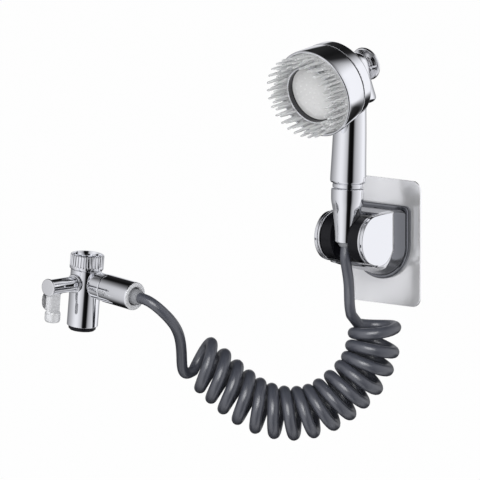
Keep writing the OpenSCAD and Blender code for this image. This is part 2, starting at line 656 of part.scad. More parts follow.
module handle_core() color(white_colour) difference() {
    at_handle() translate([0, 0, handle_low]) {
        cylinder(r = core_r, h = core_shoulder - handle_low);
        cylinder(r = core_neck_r, h = head_up - handle_low);
    }
    at_handle() translate([0, 0, handle_low - cut]) cylinder(r = core_bore_r, h = head_up);
    at_handle() translate([0, 0, handle_low - cut])
        cylinder(r = shank_r + run_gap, h = shank_len + cut + seat_gap);
    at_head() translate([0, 0, valve_front - cut]) cylinder(r = valve_r + seat_gap, h = valve_len);
}

module handle_nipple() color(chrome_colour) at_handle() difference() {
    union() {
        translate([0, 0, nipple_low]) cylinder(r = thread_r, h = collar_low - nipple_low + 1);
        translate([0, 0, collar_low]) turned([[0, 0], [collar_r - 0.6, 0], [collar_r, 0.6],
            [collar_r, collar_h - 0.7], [collar_r - 0.5, collar_h - seat_gap], [0, collar_h - seat_gap]]);
        translate([0, 0, handle_low - 1]) cylinder(r = shank_r, h = shank_len + 1);
    }
    translate([0, 0, nipple_low - cut]) cylinder(r = nipple_bore_r, h = handle_high);
}

module flow_restrictor() color(white_colour) at_handle() translate([0, 0, nipple_low + 8])
    ring(1.4, nipple_bore_r - seat_gap, 3);

module cone_nut() color(chrome_colour) at_handle() difference() {
    turned(concat([[0, nut_low]], nut_outline(0), [[nut_top_r, nut_high - 0.5], [nut_top_r - 0.5, nut_high],
        [0, nut_high]]));
    translate([0, 0, nut_shelf]) cylinder(r = thread_r + run_gap, h = nut_len);
    translate([0, 0, nut_low - cut]) cylinder(r = nut_mouth_r, h = nut_len);
}

module nut_washer() color(rubber_colour) at_handle() translate([0, 0, nipple_low - hose_washer_t - seat_gap])
    ring(nipple_bore_r, fitting_r, hose_washer_t);

module hose_end_fitting() color(brass_colour) at_handle() difference() {
    union() {
        translate([0, 0, fitting_low]) cylinder(r = fitting_r, h = fitting_t);
        translate([0, 0, fitting_low - 12]) cylinder(r = barb_r, h = 13);
    }
    translate([0, 0, fitting_low - 13]) cylinder(r = 1.4, h = 20);
}

module hose_ferrule() color(grey_colour) at_handle() difference() {
    turned([[0, ferrule_low], [hose_d / 2 + 0.1, ferrule_low], [ferrule_r - 0.4, ferrule_low + 1],
        [ferrule_r, ferrule_low + 2.4], [ferrule_r, ferrule_high], [0, ferrule_high]]);
    translate([0, 0, fitting_low - 12 - seat_gap]) cylinder(r = barb_r + seat_gap, h = 30);
}

module hose_tail_handset() color(hose_colour) tube(handset_route, hose_d / 2, 8, [1, 0, 0]);
module hose_coil() color(hose_colour) tube(coil_path, hose_d / 2, 6, [1, 0, 0]);
module hose_tail_diverter() color(hose_colour) tube(diverter_route, hose_d / 2, 8, [0, 0, 1]);

// ---------- Diverter ----------
module diverter_body() color(chrome_colour) at_diverter() difference() {
    union() {
        turned([[0, -div_below], [div_r - 0.8, -div_below], [div_r, -div_below + 0.8],
            [div_r, div_above - 0.8], [div_r - 0.8, div_above], [0, div_above]]);
        cylinder(r = swivel_r, h = swivel_high);
        translate([0, 0, swivel_collar]) cylinder(r = inlet_thread_r - 0.4, h = swivel_collar_t);
        to_outlet() cylinder(r = boss_r, h = boss_len);
        to_outlet() cylinder(r = outlet_thread_r, h = outlet_end);
    }
    cylinder(r = water_r, h = swivel_high + cut);
    translate([0, 0, -div_below - cut]) cylinder(r = water_r + 1, h = div_below + cut);
    translate([0, 0, -div_below - cut]) cylinder(r = aerator_r - 1, h = aerator_seat + cut);
    to_outlet() cylinder(r = water_r, h = outlet_end + cut);
    rotate([-90, 0, 0]) cylinder(r = plug_r + run_gap, h = plug_back + seat_gap);
    to_lever() cylinder(r = plug_r + run_gap, h = div_r + cut);
}

module bonnet_nut() color(chrome_colour) at_diverter() to_lever() difference() {
    union() {
        translate([0, 0, plug_front + 3]) cylinder(r = plug_r - seat_gap, h = bonnet_out - plug_front - 3.4);
        translate([0, 0, bonnet_out - 1.2]) turned([[0, 0], [bonnet_r, 0], [bonnet_r, 0.7],
            [bonnet_r - 0.5, 1.2], [0, 1.2]]);
    }
    cylinder(r = shaft_r + run_gap, h = bonnet_out + cut);
}

module aerator_housing() color(black_colour) at_diverter() difference() {
    translate([0, 0, -div_below]) turned([[0, -3.4], [aerator_r - 1.2, -3.4], [aerator_r, -2.2],
        [aerator_r, -seat_gap], [aerator_r - 1 - seat_gap, -seat_gap],
        [aerator_r - 1 - seat_gap, aerator_seat - 0.2],
        [0, aerator_seat - 0.2]]);
    translate([0, 0, -div_below - 4]) cylinder(r = aerator_r - 2.6, h = aerator_seat + 5);
}

module aerator_screen() color(grey_colour) at_diverter() translate([0, 0, -div_below - 2]) difference() {
    cylinder(r = aerator_r - 2.6 - seat_gap, h = 1.2);
    round_holes([[0, 1, 0], [3, 6, 0], [6, 12, 0.5]], 0.7, 1.2);
}

module inlet_nut() color(chrome_colour) at_diverter() difference() {
    turned([[swivel_r + run_gap, inlet_low], [inlet_r - 0.6, inlet_low], [inlet_r, inlet_low + 0.6],
        [inlet_r, inlet_high - 0.6], [inlet_r - 0.6, inlet_high], [inlet_thread_r, inlet_high],
        [inlet_thread_r, inlet_thread_low], [inlet_thread_r + 0.3, inlet_thread_low],
        [inlet_thread_r + 0.3, inlet_low + inlet_lip], [swivel_r + run_gap, inlet_low + inlet_lip]]);
    for (i = [0:35]) rotate([0, 0, 10 * i]) translate([inlet_r + 0.35, 0, inlet_low + 2.2])
        cylinder(r = 0.75, h = inlet_high, $fn = 16);
}

module inlet_washer() color(rubber_colour) at_diverter() translate([0, 0, inlet_washer_at])
    ring(water_r + 1, inlet_thread_r - 0.4, inlet_washer_t - seat_gap);

module inlet_screen() color(steel_colour) at_diverter() translate([0, 0, inlet_washer_at]) difference() {
    cylinder(r = water_r + 1 - seat_gap, h = 0.6);
    round_holes([[0, 1, 0], [2.2, 6, 0]], 0.6, 0.6);
}

module outlet_washer() color(rubber_colour) at_diverter() to_outlet()
    translate([0, 0, outlet_end + seat_gap]) ring(water_r, outlet_thread_r - 0.2, tail_washer_t);

module hose_tail_piece() color(brass_colour) at_diverter() to_outlet() difference() {
    union() {
        translate([0, 0, tail_flange]) cylinder(r = outlet_thread_r - 0.2, h = tail_flange_t);
        translate([0, 0, tail_flange]) cylinder(r = barb_r + 1, h = collar_start - tail_flange - seat_gap);
        translate([0, 0, tail_flange]) cylinder(r = barb_r, h = collar_start - tail_flange + 10);
    }
    translate([0, 0, tail_flange - cut]) cylinder(r = 1.4, h = 40);
}

module coupling_nut() color(chrome_colour) at_diverter() to_outlet() difference() {
    turned([[0, coupling_low], [coupling_r - 0.5, coupling_low], [coupling_r, coupling_low + 0.5],
        [coupling_r, coupling_high - 1.6], [coupling_r - 1.2, coupling_high], [0, coupling_high]]);
    translate([0, 0, coupling_low - cut])
        cylinder(r = outlet_thread_r + run_gap,
            h = tail_flange + tail_flange_t + seat_gap - coupling_low + cut);
    cylinder(r = collar_out + free_gap, h = coupling_high + cut);
    translate([0, 0, coupling_high - 2])
        cylinder(r1 = collar_out + free_gap, r2 = coupling_r - 2.2, h = 2 + 0.01);
}

module hose_collar() color(grey_colour) at_diverter() to_outlet() difference() {
    turned([[0, collar_start], [collar_out, collar_start], [collar_out, collar_end - 3],
        [collar_out - 0.5, collar_end - 1], [hose_d / 2 + 0.3, collar_end], [0, collar_end]]);
    translate([0, 0, collar_start - cut]) cylinder(r = barb_r + seat_gap, h = 11 + cut);
}

// ---------- Lever and plug of the diverter ----------
module valve_plug() color(brass_colour) at_diverter() to_lever() difference() {
    translate([0, 0, -plug_back]) cylinder(r = plug_r, h = plug_back + plug_front);
    rotate([90, 0, 0]) cylinder(r = water_r - 0.4, h = 2 * plug_r, center = true);
    rotate([0, -90, 0]) cylinder(r = water_r - 0.4, h = 2 * plug_r);
    translate([0, 0, 2.5]) cylinder(r = shaft_r + seat_gap, h = plug_front);
}

module lever_shaft() color(brass_colour) at_diverter() to_lever()
    translate([0, 0, 2.5 + seat_gap]) cylinder(r = shaft_r, h = lever_out - 4);

module shaft_o_ring() color(rubber_colour) at_diverter() to_lever() translate([0, 0, plug_front + 0.3])
    ring(shaft_r + seat_gap, plug_r - seat_gap, 2.2);

module lever_arm() color(chrome_colour) at_diverter() difference() {
    union() {
        to_lever() translate([0, 0, hub_start]) cylinder(r = hub_r, h = hub_end - hub_start);
        intersection() {
            translate([-blade_t / 2, -hub_end, blade_low - 1]) cube([blade_t, 2 * arm_r, 1 - blade_low]);
            translate([0, -lever_out, blade_low - 1]) cylinder(r = arm_r, h = 1 - blade_low);
        }
        translate([0, -lever_out, 0]) turned([[0, -lever_len], [arm_r - 2, -lever_len],
            [arm_r - 0.6, -lever_len + 0.9], [arm_r, -lever_len + 2.2], [arm_r, blade_low - 1.2],
            [arm_r - 0.8, blade_low], [0, blade_low]]);
        translate([-blade_t / 2 + 0.5, -lever_out, blade_low / 2 - 1]) rotate([0, -90, 0])
            turned([[0, 0], [thumb_r - 0.8, 0], [thumb_r, 0.9], [thumb_r, 2.4], [thumb_r - 0.9, 3.7],
                [thumb_r - 2.6, 4.6], [thumb_r - 5, 5.2], [0, 5.5]]);
    }
    to_lever() translate([0, 0, hub_start - cut]) cylinder(r = shaft_r + seat_gap, h = lever_out - hub_start);
    to_lever() translate([0, 0, hub_end]) cylinder(r = lever_cap_r + seat_gap, h = lever_cap_t + cut);
}

module lever_cap() color(chrome_colour) at_diverter() to_lever() translate([0, 0, hub_end + seat_gap])
    turned([[0, 0], [lever_cap_r, 0], [lever_cap_r, lever_cap_t - 0.6], [lever_cap_r - 0.6, lever_cap_t],
        [0, lever_cap_t]]);

adhesive_pad();
wall_plate();
mount_stud();
base_flange();
stud_nut();
holder_body();
grub_screw();
end_cap_left();
end_cap_right();
friction_washers();
cradle_barrel();
pivot_pins();
front_ring();
brush_ring();
recess_ring();
spray_plate();
face_seal();
face_carrier();
diffuser();
rear_housing();
neck_seal();
handle_shell();
handle_core();
handle_nipple();
flow_restrictor();
valve_body();
stop_spring();
nut_washer();
hose_end_fitting();
hose_ferrule();
hose_tail_handset();
cone_nut();
stop_button();
stop_stem();
valve_seal();
diverter_body();
bonnet_nut();
aerator_housing();
aerator_screen();
inlet_washer();
inlet_screen();
outlet_washer();
hose_tail_piece();
hose_collar();
hose_tail_diverter();
hose_coil();
inlet_nut();
coupling_nut();
valve_plug();
lever_shaft();
shaft_o_ring();
lever_arm();
lever_cap();
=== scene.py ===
"""Looks of a handheld bath sprayer with brush, wall holder, recoil hose and diverter valve.
"""

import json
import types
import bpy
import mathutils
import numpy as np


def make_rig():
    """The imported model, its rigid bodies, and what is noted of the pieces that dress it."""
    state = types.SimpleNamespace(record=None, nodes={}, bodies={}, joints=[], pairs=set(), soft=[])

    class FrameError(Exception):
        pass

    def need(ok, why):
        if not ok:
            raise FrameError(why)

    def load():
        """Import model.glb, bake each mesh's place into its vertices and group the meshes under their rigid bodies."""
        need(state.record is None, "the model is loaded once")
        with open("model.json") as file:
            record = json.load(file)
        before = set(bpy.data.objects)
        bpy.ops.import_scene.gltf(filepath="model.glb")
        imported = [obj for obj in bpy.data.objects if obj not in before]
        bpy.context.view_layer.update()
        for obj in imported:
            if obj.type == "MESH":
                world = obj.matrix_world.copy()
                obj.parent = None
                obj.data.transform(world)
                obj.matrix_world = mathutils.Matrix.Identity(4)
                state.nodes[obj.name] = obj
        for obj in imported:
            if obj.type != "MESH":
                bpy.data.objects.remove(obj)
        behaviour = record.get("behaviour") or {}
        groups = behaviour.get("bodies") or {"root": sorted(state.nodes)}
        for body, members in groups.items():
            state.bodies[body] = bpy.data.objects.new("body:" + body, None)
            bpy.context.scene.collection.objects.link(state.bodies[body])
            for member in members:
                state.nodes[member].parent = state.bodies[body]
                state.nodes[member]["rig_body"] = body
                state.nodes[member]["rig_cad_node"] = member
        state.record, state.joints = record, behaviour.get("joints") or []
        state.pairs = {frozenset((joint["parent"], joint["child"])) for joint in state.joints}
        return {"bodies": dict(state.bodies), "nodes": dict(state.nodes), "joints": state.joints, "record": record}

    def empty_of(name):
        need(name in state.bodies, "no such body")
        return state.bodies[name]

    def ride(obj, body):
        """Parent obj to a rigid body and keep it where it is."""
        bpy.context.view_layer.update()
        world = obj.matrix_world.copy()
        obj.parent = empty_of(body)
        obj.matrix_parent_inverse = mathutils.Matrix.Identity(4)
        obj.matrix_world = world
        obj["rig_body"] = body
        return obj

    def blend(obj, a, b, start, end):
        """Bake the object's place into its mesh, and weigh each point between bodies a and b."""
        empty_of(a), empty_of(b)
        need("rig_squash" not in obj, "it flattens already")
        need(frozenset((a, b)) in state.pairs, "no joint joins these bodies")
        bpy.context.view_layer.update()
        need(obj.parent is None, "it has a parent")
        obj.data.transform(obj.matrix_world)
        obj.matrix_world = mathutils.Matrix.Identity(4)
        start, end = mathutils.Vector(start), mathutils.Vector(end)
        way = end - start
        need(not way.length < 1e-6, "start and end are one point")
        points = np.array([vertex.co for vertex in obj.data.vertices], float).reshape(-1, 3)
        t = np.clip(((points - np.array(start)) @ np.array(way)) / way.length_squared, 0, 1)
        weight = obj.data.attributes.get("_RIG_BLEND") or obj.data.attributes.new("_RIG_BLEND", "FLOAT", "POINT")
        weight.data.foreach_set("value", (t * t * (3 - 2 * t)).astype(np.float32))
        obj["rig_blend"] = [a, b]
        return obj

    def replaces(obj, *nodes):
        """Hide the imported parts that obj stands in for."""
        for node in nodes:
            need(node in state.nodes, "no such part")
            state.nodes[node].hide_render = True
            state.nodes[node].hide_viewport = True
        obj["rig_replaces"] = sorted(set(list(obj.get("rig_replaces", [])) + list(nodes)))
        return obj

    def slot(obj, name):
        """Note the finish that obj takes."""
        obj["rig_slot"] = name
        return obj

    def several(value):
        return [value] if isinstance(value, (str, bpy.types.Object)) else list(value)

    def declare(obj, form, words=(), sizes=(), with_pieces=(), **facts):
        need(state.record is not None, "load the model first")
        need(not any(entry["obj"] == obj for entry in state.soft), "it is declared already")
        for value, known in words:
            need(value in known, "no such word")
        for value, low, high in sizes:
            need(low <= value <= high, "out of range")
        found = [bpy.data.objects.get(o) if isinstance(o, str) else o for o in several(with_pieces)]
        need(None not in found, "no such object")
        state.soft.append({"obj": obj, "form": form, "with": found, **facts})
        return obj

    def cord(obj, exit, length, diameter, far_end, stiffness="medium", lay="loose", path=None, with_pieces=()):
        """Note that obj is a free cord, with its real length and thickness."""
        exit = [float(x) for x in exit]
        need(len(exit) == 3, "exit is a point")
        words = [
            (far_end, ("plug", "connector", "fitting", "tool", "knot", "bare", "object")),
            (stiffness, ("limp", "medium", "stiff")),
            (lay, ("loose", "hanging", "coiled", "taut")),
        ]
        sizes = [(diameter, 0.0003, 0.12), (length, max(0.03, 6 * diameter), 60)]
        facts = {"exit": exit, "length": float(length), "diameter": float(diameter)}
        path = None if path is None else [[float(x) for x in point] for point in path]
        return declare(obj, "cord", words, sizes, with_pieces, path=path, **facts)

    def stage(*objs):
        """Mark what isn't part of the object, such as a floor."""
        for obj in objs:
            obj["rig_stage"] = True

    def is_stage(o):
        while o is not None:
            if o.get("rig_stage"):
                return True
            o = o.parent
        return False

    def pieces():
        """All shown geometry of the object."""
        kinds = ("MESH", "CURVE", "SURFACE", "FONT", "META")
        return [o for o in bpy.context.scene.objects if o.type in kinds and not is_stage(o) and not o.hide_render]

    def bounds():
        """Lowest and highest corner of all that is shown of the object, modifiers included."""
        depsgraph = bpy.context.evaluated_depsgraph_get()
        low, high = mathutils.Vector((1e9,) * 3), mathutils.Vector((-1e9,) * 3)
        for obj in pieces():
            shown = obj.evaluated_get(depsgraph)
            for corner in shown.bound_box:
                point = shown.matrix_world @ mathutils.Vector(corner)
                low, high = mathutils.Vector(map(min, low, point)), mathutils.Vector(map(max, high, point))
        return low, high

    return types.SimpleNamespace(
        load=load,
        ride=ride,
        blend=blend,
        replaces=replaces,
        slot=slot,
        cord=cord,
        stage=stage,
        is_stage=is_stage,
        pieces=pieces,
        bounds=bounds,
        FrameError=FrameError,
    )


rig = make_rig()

bl_info = {
    "name": "Bath Sprayer Looks",
    "version": (1, 0, 0),
    "blender": (4, 5, 0),
    "location": "View3D > Sidebar > Sprayer",
    "description": "Builds the visible pieces, materials, stage and camera of a handheld bath sprayer",
    "category": "Object",
}

import json
import math

import bmesh
import bpy
import numpy as np
from bpy.props import FloatProperty, FloatVectorProperty, IntProperty, PointerProperty
from mathutils import Matrix, Vector

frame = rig.load()
cad_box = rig.bounds()
nodes = frame["nodes"]

MM = 0.001
TO_MM = 1000
# Lengths in metres that count as nought, and corners in radians that count as straight
NEARLY_NOUGHT = 1e-7
NEARLY_STRAIGHT = math.radians(172)
# The longest part of an edge that a rounded corner may take
LONGEST_CUT = 0.45
# Points of a smooth wall between two that are given
WALL_STEPS = 4
# Colour that the moulded finishes drift towards, and how far their roughness drifts
DEEP_SHADE = (0.45, 0.45, 0.47, 1.0)
SHEEN_DRIFT = 0.15


# ---------------------------------------------------------------- sizes and colours


class SprayerSizes(bpy.types.PropertyGroup):
    """Sizes that a user would change, in metres."""

    hose_width: FloatProperty(
        name="Hose width", description="Outer diameter of the hose", default=0.0085, min=0.006, max=0.01,
        unit="LENGTH",
    )
    coil_radius: FloatProperty(
        name="Coil radius", description="Radius of the coil to the middle of the hose", default=0.017,
        min=0.012, max=0.02, unit="LENGTH",
    )
    bristle_length: FloatProperty(
        name="Bristle length", description="Length of a bristle of the brush", default=0.018, min=0.01,
        max=0.022, unit="LENGTH",
    )
    bristle_lean: FloatProperty(
        name="Bristle lean", description="Lean of the bristles towards the top of the head",
        default=math.radians(8.5), min=0.0, max=math.radians(15), subtype="ANGLE",
    )
    bristle_rows: IntProperty(name="Bristle rows", description="Rows of bristles on the brush", default=3, min=1, max=3)
    lens: FloatProperty(
        name="Lens", description="Focal length of the camera", default=1.0, min=0.1, max=2.0, unit="LENGTH",
    )


class SprayerColours(bpy.types.PropertyGroup):
    chrome: FloatVectorProperty(
        name="Chrome", description="Tint of the plated surfaces", default=(0.94, 0.945, 0.965), size=3, min=0.0,
        max=1.0, subtype="COLOR",
    )
    hose: FloatVectorProperty(
        name="Hose", description="Colour of the hose", default=(0.040, 0.043, 0.055), size=3, min=0.0, max=1.0,
        subtype="COLOR",
    )
    black: FloatVectorProperty(
        name="Black", description="Colour of the cradle and the aerator", default=(0.006, 0.006, 0.008), size=3,
        min=0.0, max=1.0, subtype="COLOR",
    )
    bristle: FloatVectorProperty(
        name="Bristle", description="Colour of the brush's clear silicone", default=(0.84, 0.845, 0.85), size=3,
        min=0.0, max=1.0, subtype="COLOR",
    )
    spray_plate: FloatVectorProperty(
        name="Spray plate", description="Colour of the spray plate", default=(0.66, 0.66, 0.66), size=3, min=0.0,
        max=1.0, subtype="COLOR",
    )


# ---------------------------------------------------------------- frames of the slanted pieces

# Angles in degrees and places in metres
HANDLE_LEAN = 3.0
HEAD_NOD = 18.0
HANDLE_FOOT = Vector((0.0, -0.047, 0.006))
HEAD_UP = 0.132
HEAD_BACK = 0.0487
DIVERTER_AT = Vector((-0.1572, -0.1778, -0.028))
DIVERTER_LEAN = 6.0
DIVERTER_TURN = -4.0


def turn(degrees, axis):
    """A turn round an axis."""
    return Matrix.Rotation(math.radians(degrees), 4, axis)


HANDLE = Matrix.Translation(HANDLE_FOOT) @ turn(-HANDLE_LEAN, "X")
HEAD = (
    HANDLE
    @ Matrix.Translation((0, 0, HEAD_UP))
    @ turn(HEAD_NOD - 90, "X")
    @ Matrix.Translation((0, 0, -HEAD_BACK))
)
DIVERTER = Matrix.Translation(DIVERTER_AT) @ turn(DIVERTER_TURN, "Z") @ turn(DIVERTER_LEAN, "Y")
OUTLET = DIVERTER @ turn(90, "Y")
LEVER = DIVERTER @ turn(90, "X")
# To the handle's frame in millimetres, from the wall's and from the head's
TO_HANDLE = np.array(Matrix.Scale(TO_MM, 4) @ HANDLE.inverted() @ Matrix.Scale(MM, 4))
HEAD_TO_HANDLE = np.array(
    Matrix.Translation((0, 0, HEAD_UP * TO_MM))
    @ turn(HEAD_NOD - 90, "X")
    @ Matrix.Translation((0, 0, -HEAD_BACK * TO_MM))
)


# ---------------------------------------------------------------- mesh helpers


def link(obj):
    """Puts an object into the scene."""
    bpy.context.scene.collection.objects.link(obj)
    return obj


def mesh_piece(name, bm, matrix=None, sharp=32.0):
    """A mesh object from bm, shaded smooth apart from edges sharper than the angle."""
    bmesh.ops.recalc_face_normals(bm, faces=bm.faces)
    mesh = bpy.data.meshes.new(name)
    bm.to_mesh(mesh)
    bm.free()
    if matrix is not None:
        mesh.transform(matrix)
    mesh.shade_smooth()
    mesh.set_sharp_from_angle(angle=math.radians(sharp))
    return link(bpy.data.objects.new(name, mesh))


def circle(steps):
    """Cosine and sine of even steps round a circle."""
    angles = [2 * math.pi * k / steps for k in range(steps)]
    return [(math.cos(a), math.sin(a)) for a in angles]


def skin(bm, rings):
    """Faces between each ring of vertices and the next."""
    for a, b in zip(rings, rings[1:]):
        for k in range(len(a)):
            j = (k + 1) % len(a)
            corners = list(dict.fromkeys((a[k], a[j], b[j], b[k])))
            if len(corners) > 2:
                bm.faces.new(corners)


def rounded(profile, radius, steps=4):
    """Closed profile of (r, z) points with its corners rounded off, apart from those on the axis."""
    out = []
    for i, p in enumerate(profile):
        a, b, c = Vector(profile[i - 1]), Vector(p), Vector(profile[(i + 1) % len(profile)])
        u, v = a - b, c - b
        angle = math.pi if min(u.length, v.length, b.x) < NEARLY_NOUGHT else u.angle(v)
        if angle > NEARLY_STRAIGHT:
            out.append(tuple(b))
            continue
        cut = min(radius / math.tan(angle / 2), LONGEST_CUT * u.length, LONGEST_CUT * v.length)
        start, end = b + u.normalized() * cut, b + v.normalized() * cut
        for k in range(steps + 1):
            t = k / steps
            out.append(tuple((1 - t) ** 2 * start + 2 * t * (1 - t) * b + t * t * end))
    return out


def turned(name, outline, matrix, radius, steps=128):
    """A turned piece from its closed outline of (r, z) in millimetres, with its corners rounded off."""
    bm = bmesh.new()
    rings = []
    for r, z in rounded([(r * MM, z * MM) for r, z in outline], radius * MM):
        if r < NEARLY_NOUGHT:
            rings.append([bm.verts.new((0, 0, z))] * steps)
        else:
            rings.append([bm.verts.new((r * c, r * s, z)) for c, s in circle(steps)])
    skin(bm, rings + rings[:1])
    return mesh_piece(name, bm, matrix)


def on_curve(points, i, u):
    """A point of the smooth curve through the points: a share u of the way from point i to the next."""
    n = len(points) - 1
    a = 2 * points[0] - points[1] if i == 0 else points[i - 1]
    b, c = points[i], points[i + 1]
    d = 2 * points[n] - points[n - 1] if i + 2 > n else points[i + 2]
    return 0.5 * (2 * b + (c - a) * u + (2 * a - 5 * b + 4 * c - d) * u * u + (3 * b - a - 3 * c + d) * u ** 3)


def flowing(points, steps):
    """Points joined by one smooth curve through them."""
    points = [Vector(p) for p in points]
    last = len(points) - 1
    return [on_curve(points, i, k / steps) for i in range(last) for k in range(steps)] + [points[last]]


def eased(path, rounds):
    """The path with its small kinks eased out, its ends kept."""
    path = [Vector(p) for p in path]
    for _ in range(rounds):
        inner = [(a + 2 * b + c) / 4 for a, b, c in zip(path, path[1:], path[2:])]
        path = [path[0]] + inner + [path[-1]]
    return path


def length_of(path):
    """Length along the points of a path."""
    return sum((Vector(b) - Vector(a)).length for a, b in zip(path, path[1:]))


def tube_along(name, path, widths, sides=20):
    """A round tube that follows the points, carried along without twist, with a width at each point."""
    bm = bmesh.new()
    path = [Vector(p) for p in path]
    side = (path[1] - path[0]).normalized().orthogonal().normalized()
    rings = []
    for before, here, after, width in zip(path[:1] + path, path, path[1:] + path[-1:], widths):
        ahead = (after - before).normalized()
        side = (side - ahead * side.dot(ahead)).normalized()
        other = ahead.cross(side)
        rings.append([bm.verts.new(here + width / 2 * (c * side + s * other)) for c, s in circle(sides)])
    skin(bm, rings)
    bm.faces.new(list(reversed(rings[0])))
    bm.faces.new(rings[-1])
    return mesh_piece(name, bm, sharp=60.0)


# ---------------------------------------------------------------- solids with soft edges, in millimetres


def join(a, b, soft):
    """Distance to either of two solids, with a fillet where they meet."""
    share = np.clip(0.5 + 0.5 * (b - a) / soft, 0, 1)
    return b + (a - b) * share - soft * share * (1 - share)


def overlap(a, b, soft):
    """Distance to what two solids share, with its edge rounded."""
    return -join(-a, -b, soft)


def moved(matrix, x, y, z):
    """Coordinates in another frame."""
    return [row[0] * x + row[1] * y + row[2] * z + row[3] for row in matrix[:3]]


def outline_distance(outline):
    """Distance in a plane to a closed outline, negative inside it."""
    ends = [(a, b) for a, b in zip(outline, outline[1:] + outline[:1]) if math.dist(a, b) > 1e-6]

    def distance(u, v):
        nearest = np.full(u.shape, 1e12)
        inside = np.zeros(u.shape, bool)
        for (au, av), (bu, bv) in ends:
            eu, ev = bu - au, bv - av
            wu, wv = u - au, v - av
            t = np.clip((wu * eu + wv * ev) / (eu * eu + ev * ev), 0, 1)
            nearest = np.minimum(nearest, (wu - eu * t) ** 2 + (wv - ev * t) ** 2)
            if abs(ev) > 1e-9:
                inside ^= ((av > v) != (bv > v)) & (u < eu * wv / ev + au)
        return np.where(inside, -1, 1) * np.sqrt(nearest)

    return distance


def turned_solid(profile):
    """Distance to a solid turned round the z axis; profile holds (r, z) from axis to axis."""
    mirror = [(-r, z) for r, z in reversed(profile) if r > 1e-6]
    flat = outline_distance([tuple(p) for p in profile] + mirror)
    return lambda x, y, z: flat(np.hypot(x, y), z)


# Cells of the fine grid along a coarse one, and how near to the skin, in cells, the fine grid is worked out
COARSE = 4
NEAR_SKIN = 4.6
# Millimetres either way of a point for its slope, and the rounds and longest step, in cells, onto the skin
SLOPE_REACH = 0.02
SKIN_ROUNDS = 3
SKIN_STEP = 0.4


def sampled(solid, axes, step):
    """The solid's distance on a grid, worked out in full only near its skin."""
    rough = solid(*np.meshgrid(*[axis[2::COARSE] for axis in axes], indexing="ij"))
    value = rough
    for k, axis in enumerate(axes):
        near = np.minimum(np.arange(len(axis)) // COARSE, rough.shape[k] - 1)
        value = np.take(value, near, axis=k)
    close = np.abs(value) < NEAR_SKIN * step
    x, y, z = np.meshgrid(*axes, indexing="ij")
    value[close] = solid(x[close], y[close], z[close])
    return value


def slope(solid, at):
    """How the solid's distance grows along each axis at the points."""
    out = np.empty_like(at)
    for k in range(3):
        more, less = at.copy(), at.copy()
        more[:, k] += SLOPE_REACH
        less[:, k] -= SLOPE_REACH
        out[:, k] = solid(*more.T) - solid(*less.T)
    return out / (2 * SLOPE_REACH)


def cast(name, solid, low, high, step, matrix=None):
    """A piece whose skin is where the distance of solid(x, y, z) is nought, shaded by its true slope.

    Each cell of the grid that the skin passes through gets one point, and each edge of the grid that it cuts
    gets a face between the four cells round it.
    """
    axes = [np.arange(a, b + step, step) for a, b in zip(low, high)]
    value = sampled(solid, axes, step)
    shape = [n - 1 for n in value.shape]

    def shifted(i, j, k):
        return value[i : i + shape[0], j : j + shape[1], k : k + shape[2]]

    filled = sum((shifted(i, j, k) < 0).astype(int) for i in (0, 1) for j in (0, 1) for k in (0, 1))
    active = (filled > 0) & (filled < 8)
    cell = np.argwhere(active)
    number = np.full(shape, -1)
    number[active] = np.arange(len(cell))

    # a cell's point starts at the middle of where the skin cuts the cell's edges
    total, count = np.zeros((len(cell), 3)), np.zeros(len(cell))
    for axis in range(3):
        for i in (0, 1):
            for j in (0, 1):
                start = np.zeros(3, int)
                start[(axis + 1) % 3], start[(axis + 2) % 3] = i, j
                end = start.copy()
                end[axis] = 1
                a = value[tuple((cell + start).T)]
                b = value[tuple((cell + end).T)]
                cut = (a < 0) != (b < 0)
                spot = np.tile(start.astype(float), (len(cell), 1))
                spot[:, axis] += np.where(cut, a / np.where(cut, a - b, 1), 0)
                total[cut] += spot[cut]
                count[cut] += 1
    points = (cell + total / count[:, None]) * step + np.array([axis[0] for axis in axes])
    for _ in range(SKIN_ROUNDS):
        way = slope(solid, points)
        move = way * (solid(*points.T) / np.maximum((way * way).sum(1), 0.2))[:, None]
        points -= np.clip(move, -SKIN_STEP * step, SKIN_STEP * step)
    normals = slope(solid, points)
    normals /= np.linalg.norm(normals, axis=1)[:, None]

    faces = []
    for axis in range(3):
        one, two = (axis + 1) % 3, (axis + 2) % 3
        first = [slice(None)] * 3
        last = [slice(None)] * 3
        first[axis], last[axis] = slice(0, -1), slice(1, None)
        cross = (value[tuple(first)] < 0) != (value[tuple(last)] < 0)
        at = np.argwhere(cross)
        at = at[(at[:, one] > 0) & (at[:, two] > 0) & (at[:, one] < shape[one]) & (at[:, two] < shape[two])]
        outward = value[tuple(at.T)] < 0
        around = []
        for i, j in ((1, 1), (0, 1), (0, 0), (1, 0)):
            near = at.copy()
            near[:, one] -= i
            near[:, two] -= j
            around.append(number[tuple(near.T)])
        quads = np.stack(around, 1)
        quads[~outward] = quads[~outward][:, ::-1]
        faces.append(quads)
    faces = np.concatenate(faces)
    points *= MM
    if matrix is not None:
        place = np.array(matrix)
        points = points @ place[:3, :3].T + place[:3, 3]
        normals = normals @ place[:3, :3].T
    mesh = bpy.data.meshes.new(name)
    mesh.from_pydata(points.tolist(), [], faces.tolist())
    mesh.shade_smooth()
    mesh.normals_split_custom_set_from_vertices(normals.tolist())
    return link(bpy.data.objects.new(name, mesh))


def refinish(piece, material, place, inside):
    """Gives the faces whose middle, in millimetres from the place, is inside another finish."""
    piece.data.materials.append(bpy.data.materials[material])
    to_place = place.inverted()
    for face in piece.data.polygons:
        if inside(*(to_place @ face.center / MM)):
            face.material_index = len(piece.data.materials) - 1


